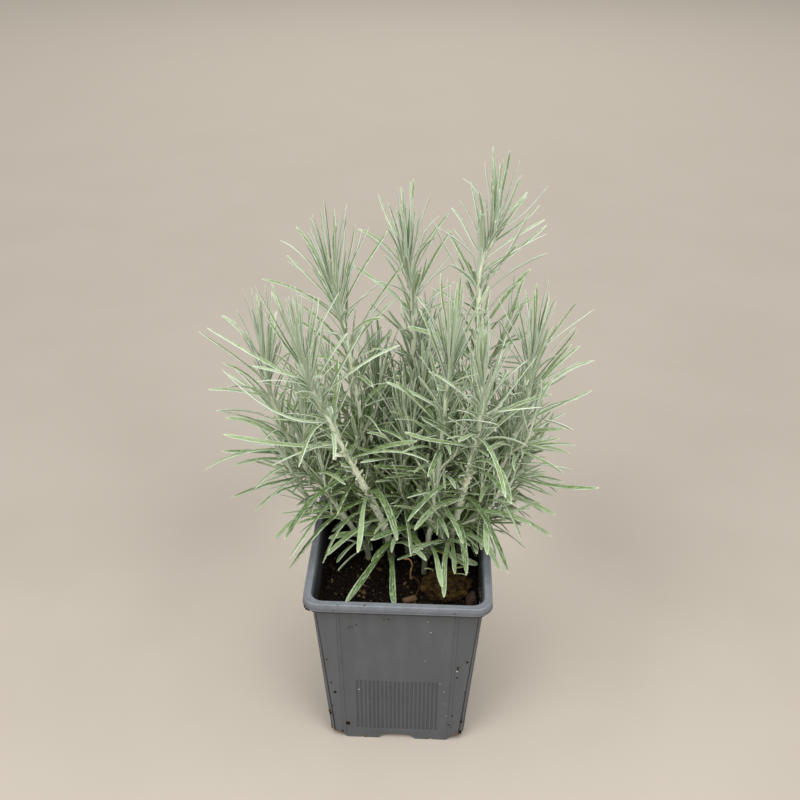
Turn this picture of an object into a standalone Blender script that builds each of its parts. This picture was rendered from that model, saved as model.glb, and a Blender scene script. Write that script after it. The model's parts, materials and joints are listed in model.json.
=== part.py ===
"""Curry plant, a silvery herb with needle leaves, in a square nursery pot. Sizes are in millimetres."""

import math
import random

import bmesh
import bpy
import numpy as np

MM = 0.001

# Pot, measured from the middle of its footprint on the table
RIM_HALF = 45.0
RIM_WIDTH = 3.9
RIM_TOP = 100.0
LIP_BOTTOM = 95.8
NECK_HALF = 42.3
NECK_BOTTOM = 93.2
BODY_TOP_HALF = 41.0
BODY_BOTTOM_HALF = 35.0
BODY_BOTTOM = 3.2
WALL = 1.2
FLOOR_TOP = 4.6
FLOOR_FILLET = 0.9
RIM_ROUND = 0.7
MOUTH_ROUND = 0.4
LIP_ROUND = 0.5
NECK_SLOPE = 0.8
FOOT_CORNER = 5.0
BODY_CORNER = 4.4
NECK_CORNER = 5.4
LIP_CORNER = 7.8
RIM_CORNER = 8.2
MOUTH_CORNER = 6.2
FLOOR_CORNER = 6.0
PANEL_STEP = 0.35
PANEL_HALF_TOP = 27.6
PANEL_HALF_BOTTOM = 26.0
CORNER_STEPS = 4
RIB_COUNT = 20
RIB_PITCH = 2.1
RIB_WIDTH = 1.0
RIB_DEPTH = 0.35
RIB_BOTTOM = 7.0
RIB_TOP = 44.0
FOOT_OUTER = 25.5
FOOT_INNER = 9.5
FOOT_SLOPE = 3.0
FOOT_DEPTH = 6.5
FOOT_NOTCH = 17.5
DRAIN_RADIUS = 4.0
DRAIN_PLACE = 16.0

# Compost
SOIL_LEVEL = 86.0
SOIL_GAP = 0.35
SOIL_RINGS = (1.0, 0.84, 0.68, 0.52, 0.34, 0.16)
HOLE_GAP = 0.3
ROOT_DEPTH = 13.0
ROOT_RISE = 2.0

# Clods and scraps that lie on the compost: x, y, half length, half width, height, turn
CLODS = {
    "clod_mossy": (23.0, -11.7, 12.6, 11.8, 8.0, 0.3),
    "clod_corner": (35.6, -22.5, 3.1, 4.2, 6.4, 0.2),
}
CHIP = (5.4, -21.8, 4.4, 2.0, 1.6, 0.45)
PAD_LEVEL = 83.6
PAD_MARGIN = 1.22
PAD_CUT = 1.12
STALK_POINTS = (
    (5.2, -5.5, 74.0),
    (5.2, -5.5, 87.5),
    (6.0, -5.8, 92.5),
    (4.8, -6.4, 96.8),
    (2.0, -6.6, 97.4),
)
STALK_RADIUS = 0.55
CUTTER_TOP = SOIL_LEVEL + 9.0

# Leafy stems: points from the compost up to where the leaf tuft opens, how many leaves grow by
# rule, and how long the tuft's leaves are
STEMS = {
    "stem_tall": (
        ((20, 16), (29, 14, 130), (35, 13, 190), (33, 9, 246), (38, 8, 263), (39, 7, 272)),
        24,
        32,
    ),
    "stem_middle": (((6, 25), (5, 25, 150), (4, 24, 215), (1, 22, 251)), 25, 34),
    "stem_left": (((-9, 19), (-17, 14, 140), (-25, 10, 206), (-31, 5, 241)), 26, 40),
    "stem_front_left": (
        ((-5, 7), (-8, 4, 108), (-17, -2, 136), (-29, -13, 173), (-38, -22, 204), (-42, -26, 219)),
        22,
        40,
    ),
    "stem_far_left": (
        ((-17, 9), (-33, 8, 119), (-48, 3, 148), (-59, -3, 184), (-61, -8, 209)),
        24,
        39,
    ),
    "stem_centre": (((12, 0), (17, 0, 135), (20, -8, 190), (22, -11, 215)), 25, 42),
    "stem_front_right": (
        ((22, 4), (27, -2, 120), (32, -9, 154), (36, -17, 192), (35, -20, 206)),
        25,
        38,
    ),
    "stem_right": (
        ((29, 12), (39, 9, 118), (50, 4, 154), (57, 0, 186), (58, -4, 212)),
        23,
        38,
    ),
    "stem_inner": (((3, 13), (2, 9, 125), (1, 4, 167)), 20, 34),
    "stem_back_left": (((-6, 31), (-11, 35, 130), (-14, 37, 176)), 19, 33),
    "stem_back_right": (((13, 33), (13, 36, 140), (9, 36, 186)), 19, 33),
    "stem_outer_left": (((-21, 24), (-36, 32, 120), (-50, 37, 158)), 20, 33),
    "stem_outer_right": (((27, 27), (43, 33, 118), (56, 37, 156)), 20, 33),
    "stem_rear": (((4, 37), (3, 41, 118), (2, 45, 150)), 15, 32),
}
STEM_RADIUS = 1.55
STEM_TIP_RADIUS = 0.9
STEM_SIDES = 6
STEM_RINGS = 7

# Leaves that stand out in the picture, by stem: height of the root, tip, how far the middle is
# lifted off the straight line, and width
MARKED_LEAVES = {
    "stem_tall": (
        (271, (43, 6, 303), 0, 2.0),
        (269, (47, 4, 300), -1, 2.0),
        (268, (24, 5, 291), 4, 2.0),
        (258, (31, -4, 289), 0, 3.0),
        (257, (23, 10, 280), 2, 2.2),
        (254, (20, 18, 273), 1, 2.2),
        (238, (12, 4, 273), -4, 2.4),
        (271, (52, 15, 282), 0, 1.9),
        (267, (60, 9, 287), -3, 2.0),
        (260, (58, 18, 275), -1, 2.0),
        (252, (59, 3, 275), 1, 2.2),
        (243, (61, 13, 268), 0, 2.4),
        (238, (52, 3, 277), -4, 2.6),
    ),
    "stem_middle": (
        (248, (15, 26, 266), 2, 2.0),
        (244, (19, 22, 269), 0, 2.0),
        (237, (-21, 23, 260), 4, 2.4),
        (229, (7, 3, 249), 0, 3.0),
        (226, (25, 30, 251), 0, 2.2),
        (251, (-12, 24, 276), -2, 2.0),
    ),
    "stem_left": (
        (236, (-24, 6, 279), 1, 2.2),
        (238, (-28, 8, 273), 0, 2.0),
        (227, (-46, 6, 268), 4, 2.2),
        (230, (-54, 11, 259), 6, 2.0),
        (233, (-15, 9, 267), 1, 2.0),
        (226, (-7, 6, 267), 2, 2.6),
        (220, (-64, 17, 238), 4, 2.2),
        (208, (0, -2, 256), 1, 2.6),
    ),
    "stem_front_left": (
        (206, (-84, -15, 229), 0, 2.4),
        (184, (-78, -20, 212), -8, 2.8),
        (167, (-80, -19, 177), -2, 2.8),
        (209, (-61, -37, 223), 1, 2.2),
        (205, (-58, -44, 220), 2, 2.2),
        (193, (-15, -27, 238), 1, 3.2),
        (198, (0, -24, 228), 3, 2.4),
        (218, (-25, -28, 254), 1, 2.2),
        (218, (-59, -30, 257), -1, 2.2),
        (218, (-47, -46, 256), 0, 2.8),
        (147, (-55, -21, 119), 8, 3.0),
        (129, (-54, -22, 100), 8, 3.2),
        (134, (-1, -27, 125), 11, 3.6),
        (96, (-25, -34, 92), 3, 3.2),
        (92, (-1, -37, 94), 0, 3.2),
        (116, (-36, -12, 102), 3, 2.8),
        (121, (-37, -21, 105), 10, 2.6),
        (158, (13, -22, 167), 5, 2.6),
        (95, (13, -18, 106), 6, 2.6),
        (184, (-39, -70, 196), 4, 2.6),
    ),
    "stem_far_left": (
        (196, (-89, -9, 224), 1, 2.2),
        (208, (-80, -2, 228), 4, 2.2),
        (161, (-83, 3, 172), 2, 2.6),
        (155, (-94, -4, 146), 6, 2.8),
        (145, (-69, -11, 141), 5, 2.6),
        (138, (-83, -1, 128), 2, 2.8),
        (117, (-64, 2, 100), 6, 2.6),
    ),
    "stem_centre": (
        (207, (6, -8, 243), 7, 2.2),
        (174, (-2, -19, 207), 1, 2.8),
    ),
    "stem_front_right": (
        (148, (4, -30, 139), 7, 3.2),
        (134, (7, -21, 127), 5, 3.0),
        (137, (52, -28, 108), 9, 3.2),
        (108, (49, -22, 105), 9, 2.6),
        (158, (51, -32, 154), 10, 2.8),
        (116, (32, -31, 109), 13, 3.2),
        (107, (27, -21, 101), 0, 2.6),
        (169, (2, -24, 184), -1, 2.4),
        (179, (58, -20, 222), 0, 2.4),
        (176, (45, -70, 184), 5, 2.6),
    ),
    "stem_right": (
        (118, (74, -5, 113), 5, 2.8),
        (128, (76, 4, 119), 3, 2.6),
        (144, (95, 1, 139), -3, 2.6),
        (156, (82, 4, 161), 2, 2.4),
        (173, (86, -2, 195), 0, 2.4),
        (196, (76, -5, 228), -1, 2.4),
        (197, (80, 8, 204), -1, 2.0),
        (187, (72, -14, 210), 0, 2.4),
        (212, (82, -6, 238), 1, 2.2),
        (212, (74, -14, 245), 0, 2.0),
        (212, (41, 0, 240), -2, 2.2),
    ),
}

# Growth rule
GOLDEN_ANGLE = math.radians(137.508)
TUFT_LEAVES = 12
LEAF_STATIONS = (0.0, 0.36, 0.72, 1.0)
LEAF_WIDTHS = (0.62, 1.0, 0.78, 0.0)
STRAIGHT_STATIONS = (0.0, 0.55, 1.0)
STRAIGHT_WIDTHS = (0.62, 1.0, 0.0)
STRAIGHT_BELOW = 0.035
LEAF_DEPTH = 0.5
LEAF_GAP = 0.35
ROOT_OFFSET = 0.35
TUFT_SPACING = 0.009
TUFT_START = 0.89
TUFT_UPRIGHT = 2.0
TRIES = 26
ROOM_SHARES = (0.0, 0.2, 0.4, 0.6, 0.8, 1.0)
ROOM_WIDTHS = (0.36, 0.5, 0.52, 0.46, 0.3)
INSIDE_HALF = 39.5
RIM_CLEARANCE = 1.6
LOWEST_LEAF = 20.0


# Vectors


def unit(v):
    return v / max(np.linalg.norm(v), 1e-9)


def turned(v, axis, angle):
    """The vector v turned about a unit axis."""
    return (
        v * math.cos(angle)
        + np.cross(axis, v) * math.sin(angle)
        + axis * np.dot(axis, v) * (1 - math.cos(angle))
    )


# Stem curves


def stem_controls(name):
    """The stem's points, with a straight piece down into its hole."""
    points = STEMS[name][0]
    x, y = points[0]
    below = [(x, y, SOIL_LEVEL - ROOT_DEPTH), (x, y, SOIL_LEVEL + ROOT_RISE)]
    return np.array(below + [tuple(p) for p in points[1:]], float)


def smooth_curve(controls, per_span=8):
    """A Catmull-Rom curve through the controls. The first span stays straight."""
    ends = np.vstack([2 * controls[0] - controls[1], controls, 2 * controls[-1] - controls[-2]])
    found = [controls[0]]
    for i in range(1, len(ends) - 2):
        a, b, c, d = ends[i - 1 : i + 3]
        for k in range(1, per_span + 1):
            t = k / per_span
            if i == 1:
                found.append(b + (c - b) * t)
                continue
            found.append(
                0.5
                * (
                    2 * b
                    + (c - a) * t
                    + (2 * a - 5 * b + 4 * c - d) * t * t
                    + (3 * b - a - 3 * c + d) * t**3
                )
            )
    return np.array(found)


def along(curve, share):
    """The point and the direction at a share of the curve's length above the compost."""
    steps = np.linalg.norm(np.diff(curve, axis=0), axis=1)
    lengths = np.concatenate([[0.0], np.cumsum(steps)])
    start = ROOT_DEPTH + ROOT_RISE
    at = start + share * (lengths[-1] - start)
    i = int(np.clip(np.searchsorted(lengths, at) - 1, 0, len(steps) - 1))
    t = (at - lengths[i]) / steps[i]
    return curve[i] + (curve[i + 1] - curve[i]) * t, unit(curve[i + 1] - curve[i])


# Leaves as curved lines: root, middle handle, tip, width and the side that the blade faces


def leaf_points(leaf, shares):
    root, handle, tip = leaf[:3]
    t = np.asarray(shares)[:, None]
    return root * (1 - t) ** 2 + 2 * handle * t * (1 - t) + tip * t * t


def ruled_leaf(curve, share, turn, opening, length, bow, droop, width, roll):
    """A leaf that leaves the stem at an angle, bows outwards by bow and sags by droop."""
    root, axis = along(curve, share)
    if share > TUFT_START:
        axis = unit(axis + np.array((0, 0, TUFT_UPRIGHT)))
    side = unit(np.cross(axis, (math.cos(turn), math.sin(turn), 0.02)))
    out = unit(np.cross(side, axis))
    root = root + out * ROOT_OFFSET
    start = axis * math.cos(opening) + out * math.sin(opening)
    handle = root + start * length * 0.5
    end = axis * math.cos(opening + bow) + out * math.sin(opening + bow)
    tip = handle + end * length * 0.5
    tip = tip - np.array((0, 0, droop * length))
    return root, handle, tip, width, axis, roll


def marked_leaf(curve, root_height, tip, lift, width):
    """A leaf from a height on the stem to a given tip, its middle lifted off the straight line."""
    share = float(np.interp(root_height, *share_heights(curve)))
    root, axis = along(curve, share)
    tip = np.array(tip, float)
    handle = (root + tip) / 2 + np.array((0, 0, 2.0 * lift))
    return root, handle, tip, width, axis, 0.0


def share_heights(curve):
    shares = np.linspace(0, 1, 40)
    return [along(curve, s)[0][2] for s in shares], shares


def leaf_frame(leaf, shares):
    """Points on the leaf's line with its side and upper directions."""
    points = leaf_points(leaf, shares)
    axis, roll = leaf[4], leaf[5]
    ends = np.clip(np.asarray(shares)[:, None] + 0.01 * np.array([[-1, 1]]), 0, 1)
    way = leaf_points(leaf, ends[:, 1]) - leaf_points(leaf, ends[:, 0])
    frames = []
    chord = unit(leaf[2] - leaf[0])
    across = np.cross(chord, axis)
    if np.linalg.norm(across) < 0.05:
        across = np.cross(chord, (1.0, 0.2, 0.0))
    across = turned(unit(across), chord, roll)
    for point, forward in zip(points, way):
        forward = unit(forward)
        side = unit(across - forward * np.dot(across, forward))
        frames.append((point, side, unit(np.cross(side, forward))))
    return frames


# Room between the leaves of different stems


def segment_distances(p, q, a, b):
    """Least distance of each segment p-q from each segment a-b."""
    d1 = (q - p)[:, None, :]
    d2 = (b - a)[None, :, :]
    r = p[:, None, :] - a[None, :, :]
    aa = (d1 * d1).sum(2)
    ee = (d2 * d2).sum(2)
    f = (d2 * r).sum(2)
    c = (d1 * r).sum(2)
    bb = (d1 * d2).sum(2)
    den = np.maximum(aa * ee - bb * bb, 1e-9)
    s = np.clip((bb * f - c * ee) / den, 0, 1)
    t = np.clip((bb * s + f) / np.maximum(ee, 1e-9), 0, 1)
    s = np.clip((bb * t - c) / np.maximum(aa, 1e-9), 0, 1)
    gap = r + d1 * s[..., None] - d2 * t[..., None]
    return np.sqrt((gap * gap).sum(2))


class Room:
    """The space taken by every stem and leaf so far, as segments with a radius."""

    def __init__(self):
        self.start = np.zeros((0, 3))
        self.end = np.zeros((0, 3))
        self.radius = np.zeros(0)
        self.owner = np.zeros(0, int)

    def add(self, points, radii, owner):
        n = len(points) - 1
        self.start = np.vstack([self.start, points[:-1]])
        self.end = np.vstack([self.end, points[1:]])
        self.radius = np.concatenate([self.radius, radii])
        self.owner = np.concatenate([self.owner, np.full(n, owner)])

    def free(self, points, radii, owner):
        others = self.owner != owner
        if not others.any():
            return True
        gaps = segment_distances(points[:-1], points[1:], self.start[others], self.end[others])
        need = np.asarray(radii)[:, None] + self.radius[others][None, :] + LEAF_GAP
        return bool((gaps > need).all())


def leaf_room(leaf):
    return leaf_points(leaf, ROOM_SHARES), [leaf[3] * w for w in ROOM_WIDTHS]


def clear_of_pot(points, ceiling=1.3):
    for x, y, z in points[1:]:
        out = max(abs(x), abs(y))
        if out < INSIDE_HALF:
            if z < ground_height(x, y) + ceiling:
                return False
        elif out < RIM_HALF + RIM_CLEARANCE:
            if z < RIM_TOP + ceiling:
                return False
        elif z < LOWEST_LEAF:
            return False
    return True


# Compost relief


def pads():
    """Level places in the compost for the clods and the chip: x, y, half sizes and height on top."""
    places = [place[:5] for place in CLODS.values()]
    x, y, half, _, height, _ = CHIP
    return places + [(x, y, half, half, height)]


def pad_share(x, y):
    """1 where a clod or the chip lies, falling to 0 around it."""
    best = 0.0
    for cx, cy, half_x, half_y, _ in pads():
        reach = math.hypot((x - cx) / (half_x * PAD_MARGIN), (y - cy) / (half_y * PAD_MARGIN))
        best = max(best, min(1.0, max(0.0, 4.0 * (1.35 - reach))))
    return best


def soil_height(x, y):
    bumps = (
        1.1 * math.sin(0.16 * x + 0.6) * math.cos(0.13 * y + 0.4)
        + 0.6 * math.sin(0.41 * x - 0.27 * y)
        + 0.4 * math.sin(0.23 * x + 0.52 * y + 1.1)
    )
    mound = 2.0 * math.exp(-((x - 6) ** 2 + (y - 18) ** 2) / 500.0)
    loose = SOIL_LEVEL - 1.6 + bumps + mound
    share = pad_share(x, y)
    return loose + (PAD_LEVEL - loose) * share


def ground_height(x, y):
    """Top of the compost or of what lies on it."""
    top = soil_height(x, y)
    for cx, cy, half_x, half_y, height in pads():
        reach = math.hypot((x - cx) / half_x, (y - cy) / half_y)
        if reach < 1.15:
            top = max(top, PAD_LEVEL + 0.3 + height)
    return top


# Growing


def leaf_rule(rng, share, tuft):
    """Opening angle, length, outward bow, sag and width for a leaf at a share of the stem's height."""
    if tuft:
        outer = (1 - share) / (TUFT_SPACING * TUFT_LEAVES)
        opening = math.radians(3 + 25 * outer + rng.uniform(-3, 5))
        length = tuft - 4 * outer + rng.uniform(-3, 3)
        bow = math.radians(rng.uniform(-6, 10))
        return opening, length, bow, 0.0, rng.uniform(1.9, 2.3)
    upper = min(1.0, max(0.0, (share - 0.25) / 0.75))
    opening = math.radians(78 - 46 * upper + rng.uniform(-9, 9))
    length = 30 + 7 * math.sin(math.pi * min(1.0, 0.25 + 0.75 * upper)) + rng.uniform(-4, 4)
    bow = math.radians(rng.uniform(0, 18))
    droop = 0.16 * (1 - upper) ** 2 * rng.uniform(0.3, 1.5)
    return opening, length, bow, droop, rng.uniform(2.2, 2.7) + 0.5 * (1 - upper)


def place_leaf(room, owner, curve, rng, share, turn, tuft=None):
    """Tries the leaf as the rule gives it, then turned, opened or shortened until it has room."""
    opening, length, bow, droop, width = leaf_rule(rng, share, tuft)
    roll = rng.uniform(-0.35, 0.35)
    for attempt in range(TRIES):
        swing = math.radians(9) * (attempt // 2) * (1 if attempt % 2 else -1)
        open_more = math.radians(5) * (attempt % 3 - 1) * (attempt > 5)
        cut = 1.0 - 0.012 * attempt
        leaf = ruled_leaf(
            curve, share, turn + swing, opening + open_more, length * cut, bow, droop, width, roll
        )
        points, radii = leaf_room(leaf)
        if clear_of_pot(points) and room.free(points, radii, owner):
            room.add(points, radii, owner)
            return leaf
    return None


def grow_plant():
    """Every stem's curve and its leaves, as {name: (curve, leaves)}."""
    room = Room()
    names = list(STEMS)
    curves = {name: smooth_curve(stem_controls(name)) for name in names}
    leaves = {name: [] for name in names}
    for owner, name in enumerate(names):
        curve = curves[name]
        radii = np.linspace(STEM_RADIUS, STEM_TIP_RADIUS, len(curve) - 1)
        room.add(curve, radii, owner)
    stalk = smooth_curve(np.array(STALK_POINTS))
    room.add(stalk, [STALK_RADIUS] * (len(stalk) - 1), len(names))
    for name, rows in MARKED_LEAVES.items():
        owner = names.index(name)
        for root_height, tip, lift, width in rows:
            leaf = marked_leaf(curves[name], root_height, tip, lift, width)
            points, radii = leaf_room(leaf)
            if clear_of_pot(points, 0.6) and room.free(points, radii, owner):
                room.add(points, radii, owner)
                leaves[name].append(leaf)
            else:
                print("no room for the marked leaf", name, tip)
    rngs = {name: random.Random(100 + i) for i, name in enumerate(names)}
    most = max(count for _, count, _ in STEMS.values())
    for k in range(TUFT_LEAVES):
        for owner, name in enumerate(names):
            rng = rngs[name]
            turn = k * GOLDEN_ANGLE + owner
            share = 1.0 - TUFT_SPACING * k
            leaf = place_leaf(room, owner, curves[name], rng, share, turn, STEMS[name][2])
            if leaf:
                leaves[name].append(leaf)
    for k in range(most):
        for owner, name in enumerate(names):
            count = STEMS[name][1]
            if k >= count - TUFT_LEAVES:
                continue
            rng = rngs[name]
            rank = (k + 0.5 + rng.uniform(-0.2, 0.2)) / (count - TUFT_LEAVES)
            share = 0.9 - 0.84 * rank**1.35
            turn = (TUFT_LEAVES + k) * GOLDEN_ANGLE + owner
            leaf = place_leaf(room, owner, curves[name], rng, share, turn)
            if leaf:
                leaves[name].append(leaf)
    return {name: (curves[name], leaves[name]) for name in names}


# Meshes


def clear_scene():
    for obj in list(bpy.data.objects):
        bpy.data.objects.remove(obj, do_unlink=True)


def mesh_object(name, points, faces, collection=None):
    mesh = bpy.data.meshes.new(name)
    mesh.from_pydata([tuple(c * MM for c in p) for p in points], [], faces)
    shape = bmesh.new()
    shape.from_mesh(mesh)
    bmesh.ops.recalc_face_normals(shape, faces=shape.faces)
    shape.to_mesh(mesh)
    shape.free()
    obj = bpy.data.objects.new(name, mesh)
    (collection or bpy.context.scene.collection).objects.link(obj)
    return obj


def helper_collection(name):
    collection = bpy.data.collections.new(name)
    bpy.context.scene.collection.children.link(collection)
    return collection


def apply_boolean(obj, collection, operation, solver="EXACT"):
    """Joins or cuts with every object of the collection, then removes them."""
    modifier = obj.modifiers.new(operation.title(), "BOOLEAN")
    modifier.operation = operation
    modifier.solver = solver
    modifier.operand_type = "COLLECTION"
    modifier.collection = collection
    graph = bpy.context.evaluated_depsgraph_get()
    done = bpy.data.meshes.new_from_object(obj.evaluated_get(graph))
    obj.modifiers.clear()
    obj.data = done
    for other in list(collection.objects):
        bpy.data.objects.remove(other, do_unlink=True)
    bpy.data.collections.remove(collection)


def keep_largest_body(obj):
    """Drops loose scraps and fills sealed hollows, so that one closed body is left."""
    shape = bmesh.new()
    shape.from_mesh(obj.data)
    bmesh.ops.remove_doubles(shape, verts=shape.verts, dist=2e-7)
    unseen = set(shape.faces)
    bodies = []
    while unseen:
        group = set()
        queue = [unseen.pop()]
        while queue:
            face = queue.pop()
            group.add(face)
            for edge in face.edges:
                near_faces = edge.link_faces if len(edge.link_faces) == 2 else ()
                for near in near_faces:
                    if near in unseen:
                        unseen.remove(near)
                        queue.append(near)
        bodies.append(group)
    bodies.sort(key=len)
    for body in bodies[:-1]:
        bmesh.ops.delete(shape, geom=list(body), context="FACES")
    bmesh.ops.triangulate(shape, faces=shape.faces)
    shape.to_mesh(obj.data)
    shape.free()


def set_material(obj, name, colour, roughness, metallic=0.0):
    material = bpy.data.materials.new(name)
    material.use_nodes = True
    shader = material.node_tree.nodes["Principled BSDF"]
    shader.inputs["Base Color"].default_value = (*colour, 1.0)
    shader.inputs["Roughness"].default_value = roughness
    shader.inputs["Metallic"].default_value = metallic
    obj.data.materials.clear()
    obj.data.materials.append(material)


def shade_round(obj, sharp_degrees):
    """Smooth shading, with edges over the given angle kept sharp."""
    obj.data.shade_smooth()
    obj.data.set_sharp_from_angle(angle=math.radians(sharp_degrees))


def rounded_square(half, radius, panel_half=None, step=0.0):
    """Points of a rounded square, each side holding the four points of a stepped panel."""
    points = []
    for quarter in range(4):
        angle = math.pi / 2 * quarter
        cos, sin = math.cos(angle), math.sin(angle)
        side = []
        if panel_half is not None:
            edge = panel_half + 0.3
            side += [(half, -edge), (half - step, -panel_half)]
            side += [(half - step, panel_half), (half, edge)]
        for k in range(CORNER_STEPS + 1):
            a = math.pi / 2 * k / CORNER_STEPS
            side.append((half - radius + radius * math.cos(a), half - radius + radius * math.sin(a)))
        points += [(cos * x - sin * y, sin * x + cos * y) for x, y in side]
    return points


def loft(rings):
    """Faces between rings of equal length, in order."""
    faces = []
    count = len(rings[0])
    for i in range(len(rings) - 1):
        for k in range(count):
            n = (k + 1) % count
            a, b = i * count + k, i * count + n
            c, d = (i + 1) * count + n, (i + 1) * count + k
            faces += [(a, b, c), (a, c, d)]
    return faces


def body_half(z):
    return BODY_BOTTOM_HALF + (BODY_TOP_HALF - BODY_BOTTOM_HALF) * (z - BODY_BOTTOM) / (
        NECK_BOTTOM - BODY_BOTTOM
    )


def panel_half(z):
    share = (z - BODY_BOTTOM) / (NECK_BOTTOM - BODY_BOTTOM)
    return PANEL_HALF_BOTTOM + (PANEL_HALF_TOP - PANEL_HALF_BOTTOM) * share


def box_points(x0, x1, y0, y1, z0, z1, lean=0.0):
    """Corners of a box whose upper end is moved by lean along y."""
    return [
        (x, y + (lean if z == z1 else 0.0), z)
        for z in (z0, z1)
        for x, y in ((x0, y0), (x1, y0), (x1, y1), (x0, y1))
    ]


BOX_FACES = [(0, 1, 2, 3), (4, 5, 6, 7), (0, 1, 5, 4), (1, 2, 6, 5), (2, 3, 7, 6), (3, 0, 4, 7)]


def quarter_turns(points, turns):
    for _ in range(turns):
        points = [(-y, x, z) for x, y, z in points]
    return points


def foot_outline(side):
    """The outline of one foot seen from the front, on the left (-1) or right (1) half of a side."""
    top = BODY_BOTTOM + 0.6
    outline = (
        (FOOT_OUTER + FOOT_SLOPE, top),
        (FOOT_OUTER, 0.0),
        (FOOT_NOTCH + 0.8, 0.0),
        (FOOT_NOTCH + 0.5, 1.1),
        (FOOT_NOTCH - 0.5, 1.1),
        (FOOT_NOTCH - 0.8, 0.0),
        (FOOT_INNER, 0.0),
        (FOOT_INNER - FOOT_SLOPE, top),
    )
    return [(side * x, z) for x, z in outline]


def add_feet(collection):
    front = -(BODY_BOTTOM_HALF - 0.45)
    for turns in range(4):
        for side in (-1, 1):
            outline = foot_outline(side)
            n = len(outline)
            points = [(x, front + FOOT_DEPTH * near, z) for near in (0, 1) for x, z in outline]
            faces = [tuple(range(n)), tuple(range(n, 2 * n))]
            faces += [(i, (i + 1) % n, (i + 1) % n + n, i + n) for i in range(n)]
            mesh_object("foot", quarter_turns(points, turns), faces, collection)


def add_rib_cutters(collection):
    """Upright grooves of the gripping panel, on the front and on the back."""
    for turns in (0, 2):
        for k in range(RIB_COUNT):
            x = (k - (RIB_COUNT - 1) / 2) * RIB_PITCH
            deep = -(body_half(RIB_BOTTOM) - PANEL_STEP - RIB_DEPTH)
            lean = -(body_half(RIB_TOP) - body_half(RIB_BOTTOM))
            points = box_points(
                x - RIB_WIDTH / 2, x + RIB_WIDTH / 2, deep - 2.0, deep, RIB_BOTTOM, RIB_TOP, lean
            )
            mesh_object("rib", quarter_turns(points, turns), BOX_FACES, collection)


def cylinder_points(x, y, radius, z0, z1, sides):
    turns = [2 * math.pi * k / sides for k in range(sides)]
    ring = [(x + radius * math.cos(a), y + radius * math.sin(a)) for a in turns]
    return [(a, b, z) for z in (z0, z1) for a, b in ring]


def prism_faces(sides):
    faces = [tuple(range(sides)), tuple(range(sides, 2 * sides))]
    return faces + [(i, (i + 1) % sides, (i + 1) % sides + sides, i + sides) for i in range(sides)]


def add_drain_cutters(collection):
    places = [(0.0, 0.0)] + [(sx * DRAIN_PLACE, sy * DRAIN_PLACE) for sx in (-1, 1) for sy in (-1, 1)]
    for x, y in places:
        points = cylinder_points(x, y, DRAIN_RADIUS, BODY_BOTTOM - 2, FLOOR_TOP + 2, 12)
        mesh_object("drain", points, prism_faces(12), collection)


def build_pot():
    inner_top = RIM_HALF - RIM_WIDTH
    neck_low = NECK_BOTTOM - NECK_SLOPE
    floor_half = body_half(FLOOR_TOP) - WALL
    profile = (
        (body_half(BODY_BOTTOM), FOOT_CORNER, BODY_BOTTOM, True),
        (body_half(neck_low), BODY_CORNER, neck_low, True),
        (BODY_TOP_HALF, BODY_CORNER, NECK_BOTTOM, False),
        (NECK_HALF, NECK_CORNER, LIP_BOTTOM, False),
        (RIM_HALF - MOUTH_ROUND, LIP_CORNER, LIP_BOTTOM, False),
        (RIM_HALF, RIM_CORNER, LIP_BOTTOM + LIP_ROUND, False),
        (RIM_HALF, RIM_CORNER, RIM_TOP - RIM_ROUND, False),
        (RIM_HALF - RIM_ROUND, RIM_CORNER - RIM_ROUND, RIM_TOP, False),
        (inner_top + MOUTH_ROUND, MOUTH_CORNER + MOUTH_ROUND, RIM_TOP, False),
        (inner_top, MOUTH_CORNER, RIM_TOP - LIP_ROUND, False),
        (BODY_TOP_HALF - WALL, MOUTH_CORNER, neck_low, False),
        (floor_half, FLOOR_CORNER, FLOOR_TOP + FLOOR_FILLET, False),
        (floor_half - FLOOR_FILLET, FLOOR_CORNER - FLOOR_FILLET, FLOOR_TOP, False),
    )
    points = []
    rings = []
    for half, radius, z, stepped in profile:
        step = PANEL_STEP if stepped else 0.0
        ring = rounded_square(half, radius, panel_half(min(z, NECK_BOTTOM)), step)
        rings.append(ring)
        points += [(x, y, z) for x, y in ring]
    count = len(rings[0])
    faces = loft(rings)
    faces.append(tuple(range(count)))
    faces.append(tuple(range(len(points) - count, len(points))))
    pot = mesh_object("pot", points, faces)
    feet = helper_collection("feet")
    add_feet(feet)
    apply_boolean(pot, feet, "UNION")
    cutters = helper_collection("cutters")
    add_rib_cutters(cutters)
    add_drain_cutters(cutters)
    apply_boolean(pot, cutters, "DIFFERENCE")
    keep_largest_body(pot)
    shade_round(pot, 25)
    set_material(pot, "pot_plastic", (0.13, 0.135, 0.14), 0.55)


def compost_half(z):
    """Half width of the compost where it meets the wall at height z, with the gap left."""
    low, high = body_half(FLOOR_TOP) - WALL, BODY_TOP_HALF - WALL
    floor = FLOOR_TOP + FLOOR_FILLET
    share = (z - floor) / (NECK_BOTTOM - NECK_SLOPE - floor)
    return low + (high - low) * share - SOIL_GAP


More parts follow.
